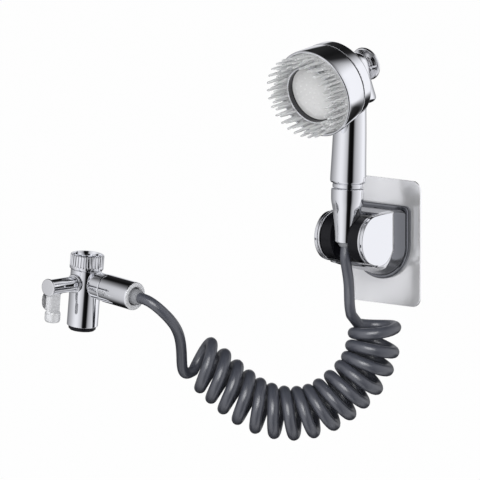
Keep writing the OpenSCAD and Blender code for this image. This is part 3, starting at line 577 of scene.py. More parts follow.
def dress(piece, body, material, slot, *stands_for):
    """Gives a piece its material, its body, its slot and the CAD nodes that it stands for.

    The two pieces of the hose are blended between two bodies before, and pass None for the body.
    """
    piece.data.materials.append(bpy.data.materials[material])
    if body:
        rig.ride(piece, body)
    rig.slot(piece, slot)
    if stands_for:
        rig.replaces(piece, *stands_for)


# ---------------------------------------------------------------- nodes and shared node groups


def feed(tree, slot, value):
    """Gives a node's input a plain value, or joins another node's output to it."""
    if isinstance(value, bpy.types.NodeSocket):
        tree.links.new(value, slot)
    else:
        slot.default_value = value


def add_node(tree, kind, values=(), **settings):
    """A new node of the tree; values holds its inputs by name or number."""
    node = tree.nodes.new(kind)
    for name, value in settings.items():
        setattr(node, name, value)
    for name, value in dict(values).items():
        feed(tree, node.inputs[name], value)
    return node


def calc(tree, operation, *values, clamp=False):
    """The result of a Math node."""
    return add_node(tree, "ShaderNodeMath", enumerate(values), operation=operation, use_clamp=clamp).outputs[0]


def noise(tree, scale, detail):
    """A noise that is fixed to the piece."""
    place = add_node(tree, "ShaderNodeTexCoord").outputs["Object"]
    cloud = add_node(tree, "ShaderNodeTexNoise", {"Vector": place, "Scale": scale, "Detail": detail})
    return cloud.outputs["Fac"]


def new_group(name, inputs, outputs):
    """A shader node group with named inputs and outputs, and the sockets that lead in and out of it."""
    group = bpy.data.node_groups.new(name, "ShaderNodeTree")
    for way, labels in (("INPUT", inputs), ("OUTPUT", outputs)):
        for label in labels:
            kind = "NodeSocketColor" if label == "Colour" else "NodeSocketFloat"
            made = group.interface.new_socket(name=label, in_out=way, socket_type=kind)
            if way == "INPUT":
                made.default_value = inputs[label]
    return group, group.nodes.new("NodeGroupInput").outputs, group.nodes.new("NodeGroupOutput").inputs


def polish_group():
    """Faint uneven polish: a roughness that drifts and a very low bump height."""
    inputs = {"Roughness": 0.05, "Drift": 0.03, "Scale": 60.0}
    group, ins, outs = new_group("Polish Marks", inputs, ("Roughness", "Height"))
    cloud = noise(group, ins["Scale"], 4.0)
    drift = calc(group, "SUBTRACT", cloud, 0.5)
    feed(group, outs["Roughness"], calc(group, "MULTIPLY_ADD", drift, ins["Drift"], ins["Roughness"], clamp=True))
    feed(group, outs["Height"], cloud)


def moulded_group():
    """Moulded or extruded surface: slow colour drift, fine grain and an uneven sheen."""
    inputs = {"Colour": (0.5, 0.5, 0.5, 1.0), "Shade": 0.12, "Roughness": 0.4, "Scale": 400.0}
    group, ins, outs = new_group("Moulded Skin", inputs, ("Colour", "Roughness", "Height"))
    slow = noise(group, 25.0, 3.0)
    mix = {0: calc(group, "MULTIPLY", slow, ins["Shade"]), 6: ins["Colour"], 7: DEEP_SHADE}
    darker = add_node(group, "ShaderNodeMix", mix, data_type="RGBA", blend_type="MULTIPLY")
    feed(group, outs["Colour"], darker.outputs[2])
    feed(group, outs["Roughness"], calc(group, "MULTIPLY_ADD", slow, SHEEN_DRIFT, ins["Roughness"], clamp=True))
    feed(group, outs["Height"], noise(group, ins["Scale"], 2.0))


# ---------------------------------------------------------------- materials


def new_material(name):
    """A new material's node tree, its shader and the socket that its surface comes from."""
    material = bpy.data.materials.new(name)
    material.use_nodes = True
    tree = material.node_tree
    tree.nodes.clear()
    shader = add_node(tree, "ShaderNodeBsdfPrincipled")
    out = add_node(tree, "ShaderNodeOutputMaterial", {"Surface": shader.outputs["BSDF"]})
    return tree, shader, out.inputs["Surface"]


def add_marks(tree, shader, group, values, distance, strength):
    """Gives the shader the sheen and the low relief of a node group, and returns the group's node."""
    marks = add_node(tree, "ShaderNodeGroup", node_tree=bpy.data.node_groups[group])
    for name, value in values.items():
        feed(tree, marks.inputs[name], value)
    relief = {"Distance": distance, "Strength": strength, "Height": marks.outputs["Height"]}
    bump = add_node(tree, "ShaderNodeBump", relief)
    feed(tree, shader.inputs["Normal"], bump.outputs["Normal"])
    feed(tree, shader.inputs["Roughness"], marks.outputs["Roughness"])
    return marks


def metal(name, colour, roughness, drift=0.03, scale=60.0, bump=0.00001, metallic=1.0):
    """A metal finish with faint polish marks."""
    tree, shader, _ = new_material(name)
    shader.inputs["Base Color"].default_value = (*colour, 1.0)
    shader.inputs["Metallic"].default_value = metallic
    add_marks(tree, shader, "Polish Marks", {"Roughness": roughness, "Drift": drift, "Scale": scale}, bump, 0.15)


def plastic(name, colour, roughness, shade=0.12, scale=400.0, bump=0.00002, **plain):
    """A moulded finish; plain holds the shader's other values."""
    tree, shader, _ = new_material(name)
    values = {"Colour": (*colour, 1.0), "Shade": shade, "Roughness": roughness, "Scale": scale}
    marks = add_marks(tree, shader, "Moulded Skin", values, bump, 0.3)
    feed(tree, shader.inputs["Base Color"], marks.outputs["Colour"])
    for label, value in plain.items():
        shader.inputs[label.replace("_", " ")].default_value = value


class SPRAYER_OT_materials(bpy.types.Operator):
    bl_idname = "sprayer.materials"
    bl_label = "Materials"

    def execute(self, context):
        colours = context.scene.sprayer_colours
        polish_group()
        moulded_group()
        metal("Polished chrome", tuple(colours.chrome), 0.03, 0.02)
        metal("Bright chrome", (0.95, 0.95, 0.96), 0.12, 0.04)
        metal("Satin chrome", (0.74, 0.745, 0.76), 0.32, 0.08, 90.0, metallic=0.35)
        # A darker copy of the polished chrome for the flange and the holder's body: painted shade
        metal("Dark chrome", (0.26, 0.265, 0.285), 0.12, 0.05, 90.0)
        metal("Plate steel", (0.99, 0.99, 1.0), 0.17, 0.06, 14.0, 0.002, metallic=0.7)
        metal("Bright steel", (0.72, 0.72, 0.73), 0.18, 0.1, 300.0)
        # Near-black chrome for the inner wall of the recess: painted shade
        metal("Recess chrome", (0.10, 0.10, 0.105), 0.16, 0.05)
        metal("Turned brass", (0.72, 0.52, 0.24), 0.22, 0.1, 500.0, 0.00004)
        plastic("Gloss black", tuple(colours.black), 0.25, 0.3, 500.0, 0.00001, Specular_IOR_Level=0.25)
        plastic("Black oxide", (0.02, 0.02, 0.022), 0.4)
        plastic("Slate hose", tuple(colours.hose), 0.28, 0.15, 500.0, 0.00003, IOR=1.9)
        plastic("Grey moulding", (0.25, 0.255, 0.27), 0.34)
        plastic("White moulding", (0.74, 0.74, 0.74), 0.35)
        plastic("Spray plate", tuple(colours.spray_plate), 0.38, 0.08, 300.0, Coat_Weight=0.1)
        plastic("Seal rubber", (0.015, 0.015, 0.016), 0.55)
        plastic("Foam tape", (0.78, 0.78, 0.77), 0.8, 0.2, 900.0, 0.0001)
        plastic(
            "Clear silicone", tuple(colours.bristle), 0.2, 0.1, 300.0, 0.00001, Transmission_Weight=0.5, IOR=1.24
        )
        return {"FINISHED"}


# ---------------------------------------------------------------- camera

BACKWARD = Vector((0.6357, -0.7576, 0.1478))
RIGHTWARD = Vector((0.7660, 0.6428, 0.0))
PICTURE_SCALE = 0.09525
AIM_ASIDE = -0.1134
SENSOR_WIDTH = 36.0
FAR_END = 100.0


class SPRAYER_OT_camera(bpy.types.Operator):
    bl_idname = "sprayer.camera"
    bl_label = "Camera"

    def execute(self, context):
        sizes = context.scene.sprayer_sizes
        data = bpy.data.cameras.new("Camera")
        data.lens = sizes.lens * TO_MM
        data.sensor_width = SENSOR_WIDTH
        data.clip_end = FAR_END
        camera = link(bpy.data.objects.new("Camera", data))
        camera.location = RIGHTWARD * AIM_ASIDE + BACKWARD * (sizes.lens / PICTURE_SCALE)
        camera.rotation_euler = (-BACKWARD).to_track_quat("-Z", "Y").to_euler()
        context.scene.camera = camera
        return {"FINISHED"}


# ---------------------------------------------------------------- hose

# The hose hangs beside a slanted upright plane. Points of it are (along, up, to the front) in millimetres
HANG_AT = Vector((0.0, -0.0453, 0.0056))
HANG_TURN = math.radians(40)
FALL = ((0.0, -26, 0.6), (1.2, -35, 0), (1.5, -44, 0), (1.9, -53, 0), (3.0, -60, -2))
RISE = ((-126.5, -108.5, -6), (-129, -105, -1), (-130, -99, 4), (-130, -92, 10))
# Points in metres where the hose turns up and round to the diverter
TURN_UP = (
    (-0.0865, -0.1452, -0.0745), (-0.080, -0.156, -0.062), (-0.077, -0.169, -0.051), (-0.081, -0.179, -0.041),
)
# The coil: its axis in the hanging plane, and its turns and their lean and nod in degrees
COIL_AXIS = [Vector(p) for p in ((20, -65), (21, -81), (9, -109.5), (-27, -136), (-71, -132), (-118, -94))]
COIL_SPAN = 15.5 * 360
COIL_FIRST = -135.0
COIL_LAST = 29.5 * 180 + 45
COIL_LEAN = (-7.0, 19.0)
COIL_NOD = 8.5
COIL_STEP = 11.25
COIL_SWELL = 0.0008
SWELL_RUN = 24
# Millimetres below the handle's foot where the hose starts, and out of the diverter where it ends
HANDLE_END = (-6, -15)
DIVERTER_END = (69.3, 60.3)
# Points between two that are given, the point where the short tail ends, and rounds that ease out the kinks
HOSE_STEPS = 6
SPLIT = 15
FALL_EASING = 6
RISE_EASING = 24
# Steps that measure the coil's axis, and the reach for its direction
AXIS_STEPS = 50
AXIS_REACH = 0.01


def hang(r, w, f):
    """A point of the hanging plane: r along it, w up, f to its front, in millimetres."""
    c, s = math.cos(HANG_TURN), math.sin(HANG_TURN)
    return HANG_AT + Vector((c * r + s * f, s * r - c * f, w)) * MM


def on_axis(t):
    """A point of the coil's axis, t points from its start."""
    i = min(int(t), len(COIL_AXIS) - 2)
    return on_curve(COIL_AXIS, i, t - i)


def coil_points(radius):
    """Middle line of the wound part, from the handset's end to the diverter's."""
    end = len(COIL_AXIS) - 1
    ts = [i / AXIS_STEPS * end for i in range(AXIS_STEPS + 1)]
    run = [0.0]
    for a, b in zip(ts, ts[1:]):
        run.append(run[-1] + (on_axis(b) - on_axis(a)).length)
    out = []
    for k in range(int(round((COIL_LAST - COIL_FIRST) / COIL_STEP)) + 1):
        angle = COIL_FIRST + k * COIL_STEP
        g = (angle + 180) / COIL_SPAN
        want = g * run[-1]
        i = max(j for j in range(AXIS_STEPS) if run[j] <= want or j == 0)
        t = ts[i] + (ts[i + 1] - ts[i]) * (want - run[i]) / (run[i + 1] - run[i])
        c = on_axis(t)
        d = (on_axis(min(t + AXIS_REACH, end)) - on_axis(max(t - AXIS_REACH, 0))).normalized()
        lean = math.radians(COIL_LEAN[0] * (1 - g) ** 2 + COIL_LEAN[1] * g * g)
        nod = math.radians(COIL_NOD * (1 - g) ** 2)
        n = (-d.y * math.cos(lean) - d.x * math.sin(lean), -d.y * math.sin(lean) + d.x * math.cos(lean))
        phase = math.radians(angle)
        across, deep = radius * math.cos(phase), radius * math.sin(phase)
        dip = deep * math.sin(nod)
        out.append(hang(c.x + across * n[0] - dip * d.x, c.y + across * n[1] - dip * d.y, deep * math.cos(nod)))
    return out


class SPRAYER_OT_hose(bpy.types.Operator):
    """Builds the recoil hose as one smooth tube, and the short tail that follows the handset."""

    bl_idname = "sprayer.hose"
    bl_label = "Hose"

    def execute(self, context):
        sizes = context.scene.sprayer_sizes
        width = sizes.hose_width
        foot = [HANDLE @ Vector((0, 0, z * MM)) for z in HANDLE_END]
        port = [DIVERTER @ Vector((x * MM, 0, 0)) for x in DIVERTER_END]
        fall = flowing(foot + [hang(*p) for p in FALL], HOSE_STEPS)
        turns = coil_points(sizes.coil_radius * TO_MM)
        rise = eased(flowing([turns[-1]] + [hang(*p) for p in RISE] + [*TURN_UP] + port, HOSE_STEPS), RISE_EASING)
        short, long = fall[: SPLIT + 1], eased(fall[SPLIT:], FALL_EASING) + turns + rise[1:]
        tail = tube_along("hose_tail", short, [width] * len(short))
        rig.blend(tail, "cradle", "handset", start=short[-1], end=short[2])
        swell_from, swell_to = len(fall) - SPLIT, len(long) - len(rise)
        widths = [
            width + COIL_SWELL * max(0.0, min(1.0, (i - swell_from) / SWELL_RUN, (swell_to - i) / SWELL_RUN))
            for i in range(len(long))
        ]
        hose = tube_along("hose", long, widths)
        top = Vector(long[0])
        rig.blend(hose, "wall_holder", "cradle", start=top - Vector((0.3, 0.2, 1.0)).normalized() * 0.03, end=top)
        dress(tail, None, "Slate hose", "hose_tube", "hose_tail_handset")
        dress(hose, None, "Slate hose", "hose_tube", "hose_coil", "hose_tail_diverter")
        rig.cord(
            hose, exit=short[0], length=length_of(long), diameter=sizes.hose_width, far_end="object",
            stiffness="medium", lay="hanging", path=long, with_pieces=[tail],
        )
        return {"FINISHED"}


# ---------------------------------------------------------------- brush

# Rows of bristles: radius in millimetres, count and offset in shares of a step
BRUSH_ROWS = ((31.6, 29, 0.0), (28.6, 29, 0.5), (25.8, 23, 0.0))
# A bristle's radius at heights up to its tip, in millimetres
BRISTLE = ((1.5, -0.4), (1.3, 0.9), (1.2, 4.5), (1.1, 10.0), (1.0, 15.0), (0.88, 17.0), (0.55, 17.8))
BRISTLE_TIP = 17.9
BRISTLE_SIDES = 12
# Splay of the first row as a slope, what each further row has less, and the swing of single bristles
SPLAY = 0.055
SPLAY_STEP = 0.03
SWING = math.radians(1.6)
PAD = ((23.75, 1.0), (33.65, 1.0), (33.65, 3.6), (23.75, 3.6))


class SPRAYER_OT_brush(bpy.types.Operator):
    """Builds the clear brush: a soft ring with rows of tapered, round-tipped bristles."""

    bl_idname = "sprayer.brush"
    bl_label = "Brush"

    def execute(self, context):
        sizes = context.scene.sprayer_sizes
        lean = Vector((0, -math.tan(sizes.bristle_lean), -1))
        bm = bmesh.new()
        for row, (radius, count, offset) in enumerate(BRUSH_ROWS[: sizes.bristle_rows]):
            for i in range(count):
                angle = 2 * math.pi * (i + offset) / count
                out = Vector((math.cos(angle), math.sin(angle), 0))
                swing = SWING * math.sin(7.3 * i + 2.1 * row)
                way = Matrix.Rotation(swing, 3, out) @ (lean + out * (SPLAY - SPLAY_STEP * row))
                foot = out * radius * MM + Vector((0, 0, MM))
                self.bristle(bm, foot, way.normalized(), sizes.bristle_length)
        dress(mesh_piece("bristles", bm, HEAD, 50.0), "handset", "Clear silicone", "clear_silicone", "brush_ring")
        dress(turned("brush_pad", PAD, HEAD, 0.6, 96), "handset", "Clear silicone", "clear_silicone")
        return {"FINISHED"}

    def bristle(self, bm, foot, way, length):
        """One bristle that stands on its foot."""
        side = way.orthogonal().normalized()
        other = way.cross(side)
        rings = []
        for r, z in BRISTLE:
            middle = foot + way * (z / BRISTLE_TIP * length)
            rings.append([bm.verts.new(middle + r * MM * (c * side + s * other)) for c, s in circle(BRISTLE_SIDES)])
        rings.append([bm.verts.new(foot + way * length)] * BRISTLE_SIDES)
        skin(bm, rings)
        bm.faces.new(list(reversed(rings[0])))


# ---------------------------------------------------------------- head

# Outlines of (radius, height) in millimetres on the head's axis, BULB's on the handle's
RING = ((33.8, 0), (34.9, 0), (35.6, 0.7), (35.6, 3.5), (33.3, 21.6), (31.5, 21.6), (31.5, 3.7), (33.8, 3.7))
# The seam ring is black and fills the gap between the front ring and the drum: painted shade of the gap
SEAM_PAINTED_SHADE = ((31.8, 21.65), (32.95, 21.7), (33.0, 22.1), (32.85, 22.5), (31.8, 22.5))
DRUM_FRONT = [(0, 7.1), (31.4, 7.1), (31.4, 22.4), (33.0, 22.6)]
DRUM_WALL = (
    (33.0, 22.6), (33.2, 23.2), (32.2, 31.0), (31.7, 32.5), (30.3, 34.1), (26.7, 36.1), (20.2, 38.1), (12.2, 39.3),
)
DRUM_BACK = [(6.0, 39.6), (0, 39.7)]
BULB = (
    (13.2, 106.1), (13.3, 107.5), (15.2, 108.2), (18.0, 109.7), (19.5, 111.5), (19.7, 112.7), (19.3, 114.7),
    (18.5, 117), (17.0, 121.5), (15.4, 126.5), (14.4, 131.6), (13.6, 137.1), (12.2, 141.6), (9.6, 145.0), (6.0, 146.9),
)
# Heights on the head's axis where the bulb is cut off in front and behind
BULB_FRONT = 24.5
BULB_BACK = 61.5
# The hole for the knob's foot
HOLE_RADIUS = 6.2
HOLE_FLOOR = 52
KNOB = (
    (0, 62.1), (4.7, 62.1), (4.7, 58.6), (5.8, 58.6), (5.8, 65.9), (6.6, 66.5), (9.4, 66.0), (12.3, 65.15),
    (13.2, 65.5), (13.5, 66.6), (13.3, 67.6), (12.2, 68.5), (9.5, 69.0), (0, 69.0),
)
RECESS_RIM = (
    (22.45, -3.2), (22.6, -3.7), (23.1, -3.8), (23.5, -3.7), (23.6, -3.2), (23.6, 4.9), (22.9, 4.9), (22.9, -3.0),
)
# The recess's inner wall, which takes near-black chrome as painted shade of the recess
RECESS_WALL = ((22.4, -3.1), (22.85, -3.1), (22.85, 4.8), (22.4, 4.8))
SPRAY_DISC = ((0.0, 1.3), (17.0, 1.22), (21.4, 1.25), (22.0, 1.4), (22.25, 1.8))
DISC_SIDES = 64
# Rows of nozzles: radius in millimetres, count and offset in shares of a step
SPRAY_ROWS = ((0.0, 1, 0.0), (4.6, 6, 0.0), (9.2, 12, 0.5), (13.8, 18, 0.0), (18.2, 24, 0.5))
NOZZLE = ((1.35, 1.4), (1.0, 1.2), (0.65, 1.08), (0.4, 1.02), (0.3, 1.08), (0.25, 1.3))
NOZZLE_SIDES = 16


class SPRAYER_OT_head(bpy.types.Operator):
    """Builds the head: front ring, drum and bulb in one skin, push knob, recess and spray plate."""

    bl_idname = "sprayer.head"
    bl_label = "Head"

    def execute(self, context):
        dress(turned("head_ring", RING, HEAD, 0.5), "handset", "Polished chrome", "plated_plastic", "front_ring")
        # A thin black ring in the seam between the front ring and the drum: painted shade of the gap
        dress(turned("head_seam", SEAM_PAINTED_SHADE, HEAD, 0.1), "handset", "Seal rubber", "seal_rubber")
        self.housing()
        dress(turned("push_knob", KNOB, HEAD, 0.5), "spray_button", "Bright chrome", "plated_plastic", "stop_button")
        rim = turned("recess_rim", RECESS_RIM, HEAD, 0.2)
        dress(rim, "handset", "Polished chrome", "plated_plastic", "recess_ring")
        # The inner wall of the recess is near-black chrome: painted shade
        dress(turned("recess_wall", RECESS_WALL, HEAD, 0.05), "handset", "Recess chrome", "plated_plastic")
        self.spray_plate()
        return {"FINISHED"}

    def housing(self):
        """The drum and the bulb round the handle's top, with a hole for the knob's foot."""
        drum = turned_solid(DRUM_FRONT + flowing(DRUM_WALL, WALL_STEPS)[1:] + DRUM_BACK)
        bulb = turned_solid([(0, 106.1)] + flowing(BULB, WALL_STEPS) + [(3.7, 147.4), (0, 147.5)])

        def solid(x, y, z):
            grip = overlap(bulb(*moved(HEAD_TO_HANDLE, x, y, z)), z - BULB_BACK, 1.6)
            both = join(drum(x, y, z), overlap(grip, BULB_FRONT - z, 1.0), 9.0)
            return overlap(both, -np.maximum(np.hypot(x, y) - HOLE_RADIUS, HOLE_FLOOR - z), 0.5)

        housing = cast("rear_shell", solid, (-34, -34, 6), (34, 34, 63), 0.8, HEAD)
        dress(housing, "handset", "Polished chrome", "plated_plastic", "rear_housing")

    def spray_plate(self):
        """The spray plate: a shallow disc with rows of low nozzles."""
        bm = bmesh.new()
        rings = []
        for r, z in SPRAY_DISC:
            if r:
                rings.append([bm.verts.new((r * MM * c, r * MM * s, z * MM)) for c, s in circle(DISC_SIDES)])
            else:
                rings.append([bm.verts.new((0, 0, z * MM))] * DISC_SIDES)
        skin(bm, rings)
        for radius, count, offset in SPRAY_ROWS:
            for i in range(count):
                angle = 2 * math.pi * (i + offset) / count
                foot = Vector((radius * math.cos(angle), radius * math.sin(angle), 0))
                cone = [
                    [bm.verts.new((foot + Vector((r * c, r * s, z))) * MM) for c, s in circle(NOZZLE_SIDES)]
                    for r, z in NOZZLE
                ]
                skin(bm, cone)
                bm.faces.new(cone[-1])
        plate = mesh_piece("spray_face", bm, HEAD, 40.0)
        dress(plate, "handset", "Spray plate", "white_plastic", "spray_plate")


# ---------------------------------------------------------------- handle

# Outlines of (radius, height) in millimetres on the handle's axis
NUT_FOOT = [(6.4, -2.4), (8.3, -2.4), (9.1, -2.1)]
NUT_WALL = (
    (9.3, -1.4), (9.55, 4.0), (10.1, 11.0), (10.75, 18.5), (11.15, 22.2), (11.9, 25.8), (12.65, 29.4), (13.0, 33.0),
    (13.1, 38.6),
)
NUT_TOP = [(12.9, 39.9), (12.3, 40.4), (8.3, 40.4), (8.3, 14.0), (6.4, 13.0)]
NIPPLE = (
    (4.1, 18.7), (7.9, 18.7), (7.9, 40.7), (11.6, 40.7), (12.1, 41.2), (12.2, 42.0), (12.2, 43.4), (11.7, 44.4),
    (6.0, 44.5), (6.0, 52), (4.1, 52),
)
GRIP_FOOT = [(9.9, 44.7), (12.9, 44.7), (13.8, 45.2), (14.15, 46.1)]
HANDLE_WALL = (
    (14.2, 47.2), (14.15, 51.0), (13.9, 58.6), (13.6, 69.0), (13.3, 80.6), (12.9, 92.1), (12.55, 101.0), (12.4, 109.6),
)
GRIP_TOP = [(12.3, 110.0), (9.9, 110.0)]
FERRULE = ((2.5, -6.0), (4.3, -6.0), (5.3, -5.3), (5.9, -4.3), (6.2, -3.2), (6.2, 11.0), (2.5, 11.0))


class SPRAYER_OT_handle(bpy.types.Operator):
    """Builds the handle, the flange below it, the conical hose nut and the ferrule."""

    bl_idname = "sprayer.handle"
    bl_label = "Handle"

    def execute(self, context):
        grip = turned("grip", GRIP_FOOT + flowing(HANDLE_WALL, WALL_STEPS) + GRIP_TOP, HANDLE, 0.3)
        dress(grip, "handset", "Polished chrome", "plated_plastic", "handle_shell")
        flange = turned("nipple_flange", NIPPLE, HANDLE, 0.3)
        dress(flange, "handset", "Polished chrome", "plated_brass", "handle_nipple")
        nut = turned("hose_nut", NUT_FOOT + flowing(NUT_WALL, WALL_STEPS) + NUT_TOP, HANDLE, 0.25)
        dress(nut, "hose_nut", "Polished chrome", "plated_brass", "cone_nut")
        dress(turned("ferrule", FERRULE, HANDLE, 0.3), "handset", "Grey moulding", "grey_plastic", "hose_ferrule")
        return {"FINISHED"}


# ---------------------------------------------------------------- holder

# In millimetres. The wall plate's half width, half height and corner, and its rim from behind to the front
WALL_PLATE = (38.5, 50.0, 8.0)
PLATE_RIM = ((-0.15, -0.8), (0.0, -0.95), (0.0, -2.2), (-0.06, -2.34), (-0.2, -2.4))
# The D-shaped flange: half width, corner, middle of its thickness and half of it
FLANGE = (30, 5, 4.4, 2.0)
# The cheeks' middle, out from the wall and up, and their radius
CHEEK = (37.0, 6.0, 20.0)
# Half widths of the body over its side covers and without them, and how the body flares to the flange
CHEEK_HALF = 24.5
BODY_HALF = 21.25
FLARE = 3.0
FLARE_RUN = 10.8
FLARE_CURVE = 1.25
BODY_BACK = 6.4
BODY_CUT = 6.5
CHEEK_BACK = 17.2
CHEEK_FROM = 17.05
# At the flange and at the cheeks: how far the lower corners reach up, and the upper corners; and the least corner
LOW_REACH = (0.0, 4.0)
TOP_CORNERS = (4.8, 1.4)
LEAST_CORNER = 1.2
FAR_INSIDE = -50.0
# The body's lower and upper line: height at the flange and slope
LOW_LINE = (27.5, 0.394)
TOP_LINE = (27.5, 0.049)
# The opening: half width and radius for the barrel, half width of the hose's slot, radius of the handle's notch
BARREL_ROOM = 19.2
SLOT_HALF = 9.2
SLOT_BACK = 3.0
NOTCH_RADIUS = 14.5
NOTCH_FLOOR = 6.0
WEDGE_DEPTH = 9.0
OPEN_BACK = math.radians(18)
OPEN_LOW = math.radians(60)
# Holes for the slot screw, out from the wall, and for the pivot pins
SCREW_OUT = 11.4
SCREW_HOLE = 1.7
PIN_HOLE = 3.2
PIN_REACH = 23
# The rims of the arms, which keep plain polished chrome while the rest of the body has painted shade: beyond this far
# across and from the cheeks' middle
RIM_ACROSS = 18.5
RIM_OUT = 17.0
# The side covers: their inner face across, and where they start out from the wall
COVER_IN = 21.5
COVER_BACK = 17.4


def corner(qx, qz, radius, flat):
    """Distance to an outline that is round with this radius where qx and qz are both past nought, else flat."""
    return np.where((qx > 0) & (qz > 0), np.hypot(qx, qz) - radius, flat)


def holder_outside(x, y, z):
    """The holder's outer form: round cheeks that grow into a D against the flange."""
    d = -y
    out, up, r = CHEEK
    wide = CHEEK_HALF + FLARE * np.clip((CHEEK_BACK - d) / FLARE_RUN, 0, 1) ** FLARE_CURVE
    bottom = -LOW_LINE[0] + LOW_LINE[1] * (d - BODY_BACK)
    top = TOP_LINE[0] - TOP_LINE[1] * (d - BODY_BACK)
    dip = up - np.sqrt(np.maximum(r * r - (out - np.clip(d, CHEEK_FROM, out)) ** 2, 0.0))
    dip = np.where(d < CHEEK_BACK, np.interp(d, (BODY_BACK, CHEEK_BACK), LOW_REACH), dip)
    low_corner = np.clip(dip - bottom, LEAST_CORNER, wide)
    top_corner = np.interp(d, (BODY_BACK, CHEEK_BACK), TOP_CORNERS)
    across = np.abs(x)
    flat_low, flat_high = np.maximum(across - wide, bottom - z), np.maximum(across - wide, z - top)
    low = corner(across - (wide - low_corner), bottom + low_corner - z, low_corner, flat_low)
    high = corner(across - (wide - top_corner), z - top + top_corner, top_corner, flat_high)
    round_front = np.where(d > out, np.hypot(d - out, z - up) - r, FAR_INSIDE)
    return overlap(np.maximum(np.maximum(low, high), BODY_CUT - d), round_front, 0.8)


def holder_opening(x, y, z):
    """The room between the cheeks for the barrel, the handle and the hose."""
    d, h = -y - CHEEK[0], z - CHEEK[1]
    behind = h * math.sin(OPEN_BACK) + d * math.cos(OPEN_BACK)
    below = d * math.sin(OPEN_LOW) + h * math.cos(OPEN_LOW)
    wedge = np.maximum(-np.where(h > 0, behind, WEDGE_DEPTH), -np.where(h <= 0, below, WEDGE_DEPTH))
    tube = np.hypot(d, h) - BARREL_ROOM
    slot = np.maximum(np.abs(x) - SLOT_HALF, np.maximum(h, -SLOT_BACK - d))
    hx, hy, hz = moved(TO_HANDLE, x, y, z)
    notch = np.maximum(np.hypot(hx, hy) - NOTCH_RADIUS, NOTCH_FLOOR - hz)
    room = np.minimum(np.minimum(wedge, tube), np.minimum(slot, notch))
    return np.maximum(np.abs(x) - BARREL_ROOM, room)


def holder_solid(x, y, z):
    """The holder's body between its side covers, with its opening and holes."""
    wide = np.where(-y > CHEEK_BACK, np.abs(x) - BODY_HALF, np.abs(x) - FLANGE[0])
    arms = overlap(holder_outside(x, y, z), wide, 0.8)
    carved = overlap(arms, -holder_opening(x, y, z), 0.9)
    screw = np.maximum(np.hypot(x, -y - SCREW_OUT) - SCREW_HOLE, -z)
    pins = np.maximum(np.hypot(-y - CHEEK[0], z - CHEEK[1]) - PIN_HOLE, np.abs(x) - PIN_REACH)
    return overlap(carved, -np.minimum(screw, pins), 0.2)


def flange_solid(x, y, z):
    """The flange: a plate whose outline is a D with a flat top and a half-round bottom."""
    half, radius, middle, thick = FLANGE
    qx, qz = np.abs(x) - half + radius, z - half + radius
    top = corner(qx, qz, radius, np.maximum(qx, qz) - radius)
    outline = np.where(z < 0, np.hypot(x, z) - half, top)
    return overlap(outline, np.abs(y + middle) - thick, 1.6)


def on_cheek_rim(x, y, z):
    """True on the rims of the body's arms, which keep plain polished chrome among the painted shade of the body."""
    return abs(x) > RIM_ACROSS and math.hypot(-y - CHEEK[0], z - CHEEK[1]) > RIM_OUT and -y > CHEEK_BACK


class SPRAYER_OT_holder(bpy.types.Operator):
    """Builds the wall plate, the flange, the holder's body and its two side covers."""

    bl_idname = "sprayer.holder"
    bl_label = "Holder"

    def execute(self, context):
        self.plate()
        # The flange and the holder's body take the darker copy of polished chrome, which is painted shade; only the
        # cheek rims keep the plain chrome
        flange = cast("flange", flange_solid, (-31, -7, -31), (31, -2, 31), 0.6)
        dress(flange, "wall_holder", "Dark chrome", "plated_plastic", "base_flange")
        shell = cast("holder_shell", holder_solid, (-28.2, -58, -28.5), (28.2, -6, 28.5), 0.45)
        dress(shell, "wall_holder", "Dark chrome", "plated_plastic", "holder_body")
        refinish(shell, "Polished chrome", Matrix(), on_cheek_rim)
        for side, name, node, low, high in (
            (1, "side_cover_right", "end_cap_right", 20.5, 25.5),
            (-1, "side_cover_left", "end_cap_left", -25.5, -20.5),
        ):
            def solid(x, y, z):
                return overlap(holder_outside(x, y, z), np.maximum(COVER_IN - side * x, COVER_BACK + y), 0.5)

            cover = cast(name, solid, (low, -58, -28), (high, -16.4, 28), 0.4)
            dress(cover, "wall_holder", "Polished chrome", "plated_plastic", node)
        return {"FINISHED"}

    def plate(self):
        """The wall plate with round corners and a softened front edge."""
        bm = bmesh.new()
        half_w, half_h, radius = WALL_PLATE
        rim = []
        for cx, cz, first in ((1, 1, 0), (-1, 1, 90), (-1, -1, 180), (1, -1, 270)):
            for k in range(13):
                a = math.radians(first + 7.5 * k)
                rim.append((cx * (half_w - radius), cz * (half_h - radius), math.cos(a), math.sin(a)))
        rings = []
        for more, y in PLATE_RIM:
            r = radius + more
            rings.append([bm.verts.new(((x + c * r) * MM, y * MM, (z + s * r) * MM)) for x, z, c, s in rim])
        skin(bm, rings)
        bm.faces.new(rings[0])
        bm.faces.new(rings[-1])
        dress(mesh_piece("back_plate", bm, None, 20.0), "wall_holder", "Plate steel", "steel", "wall_plate")


# ---------------------------------------------------------------- diverter

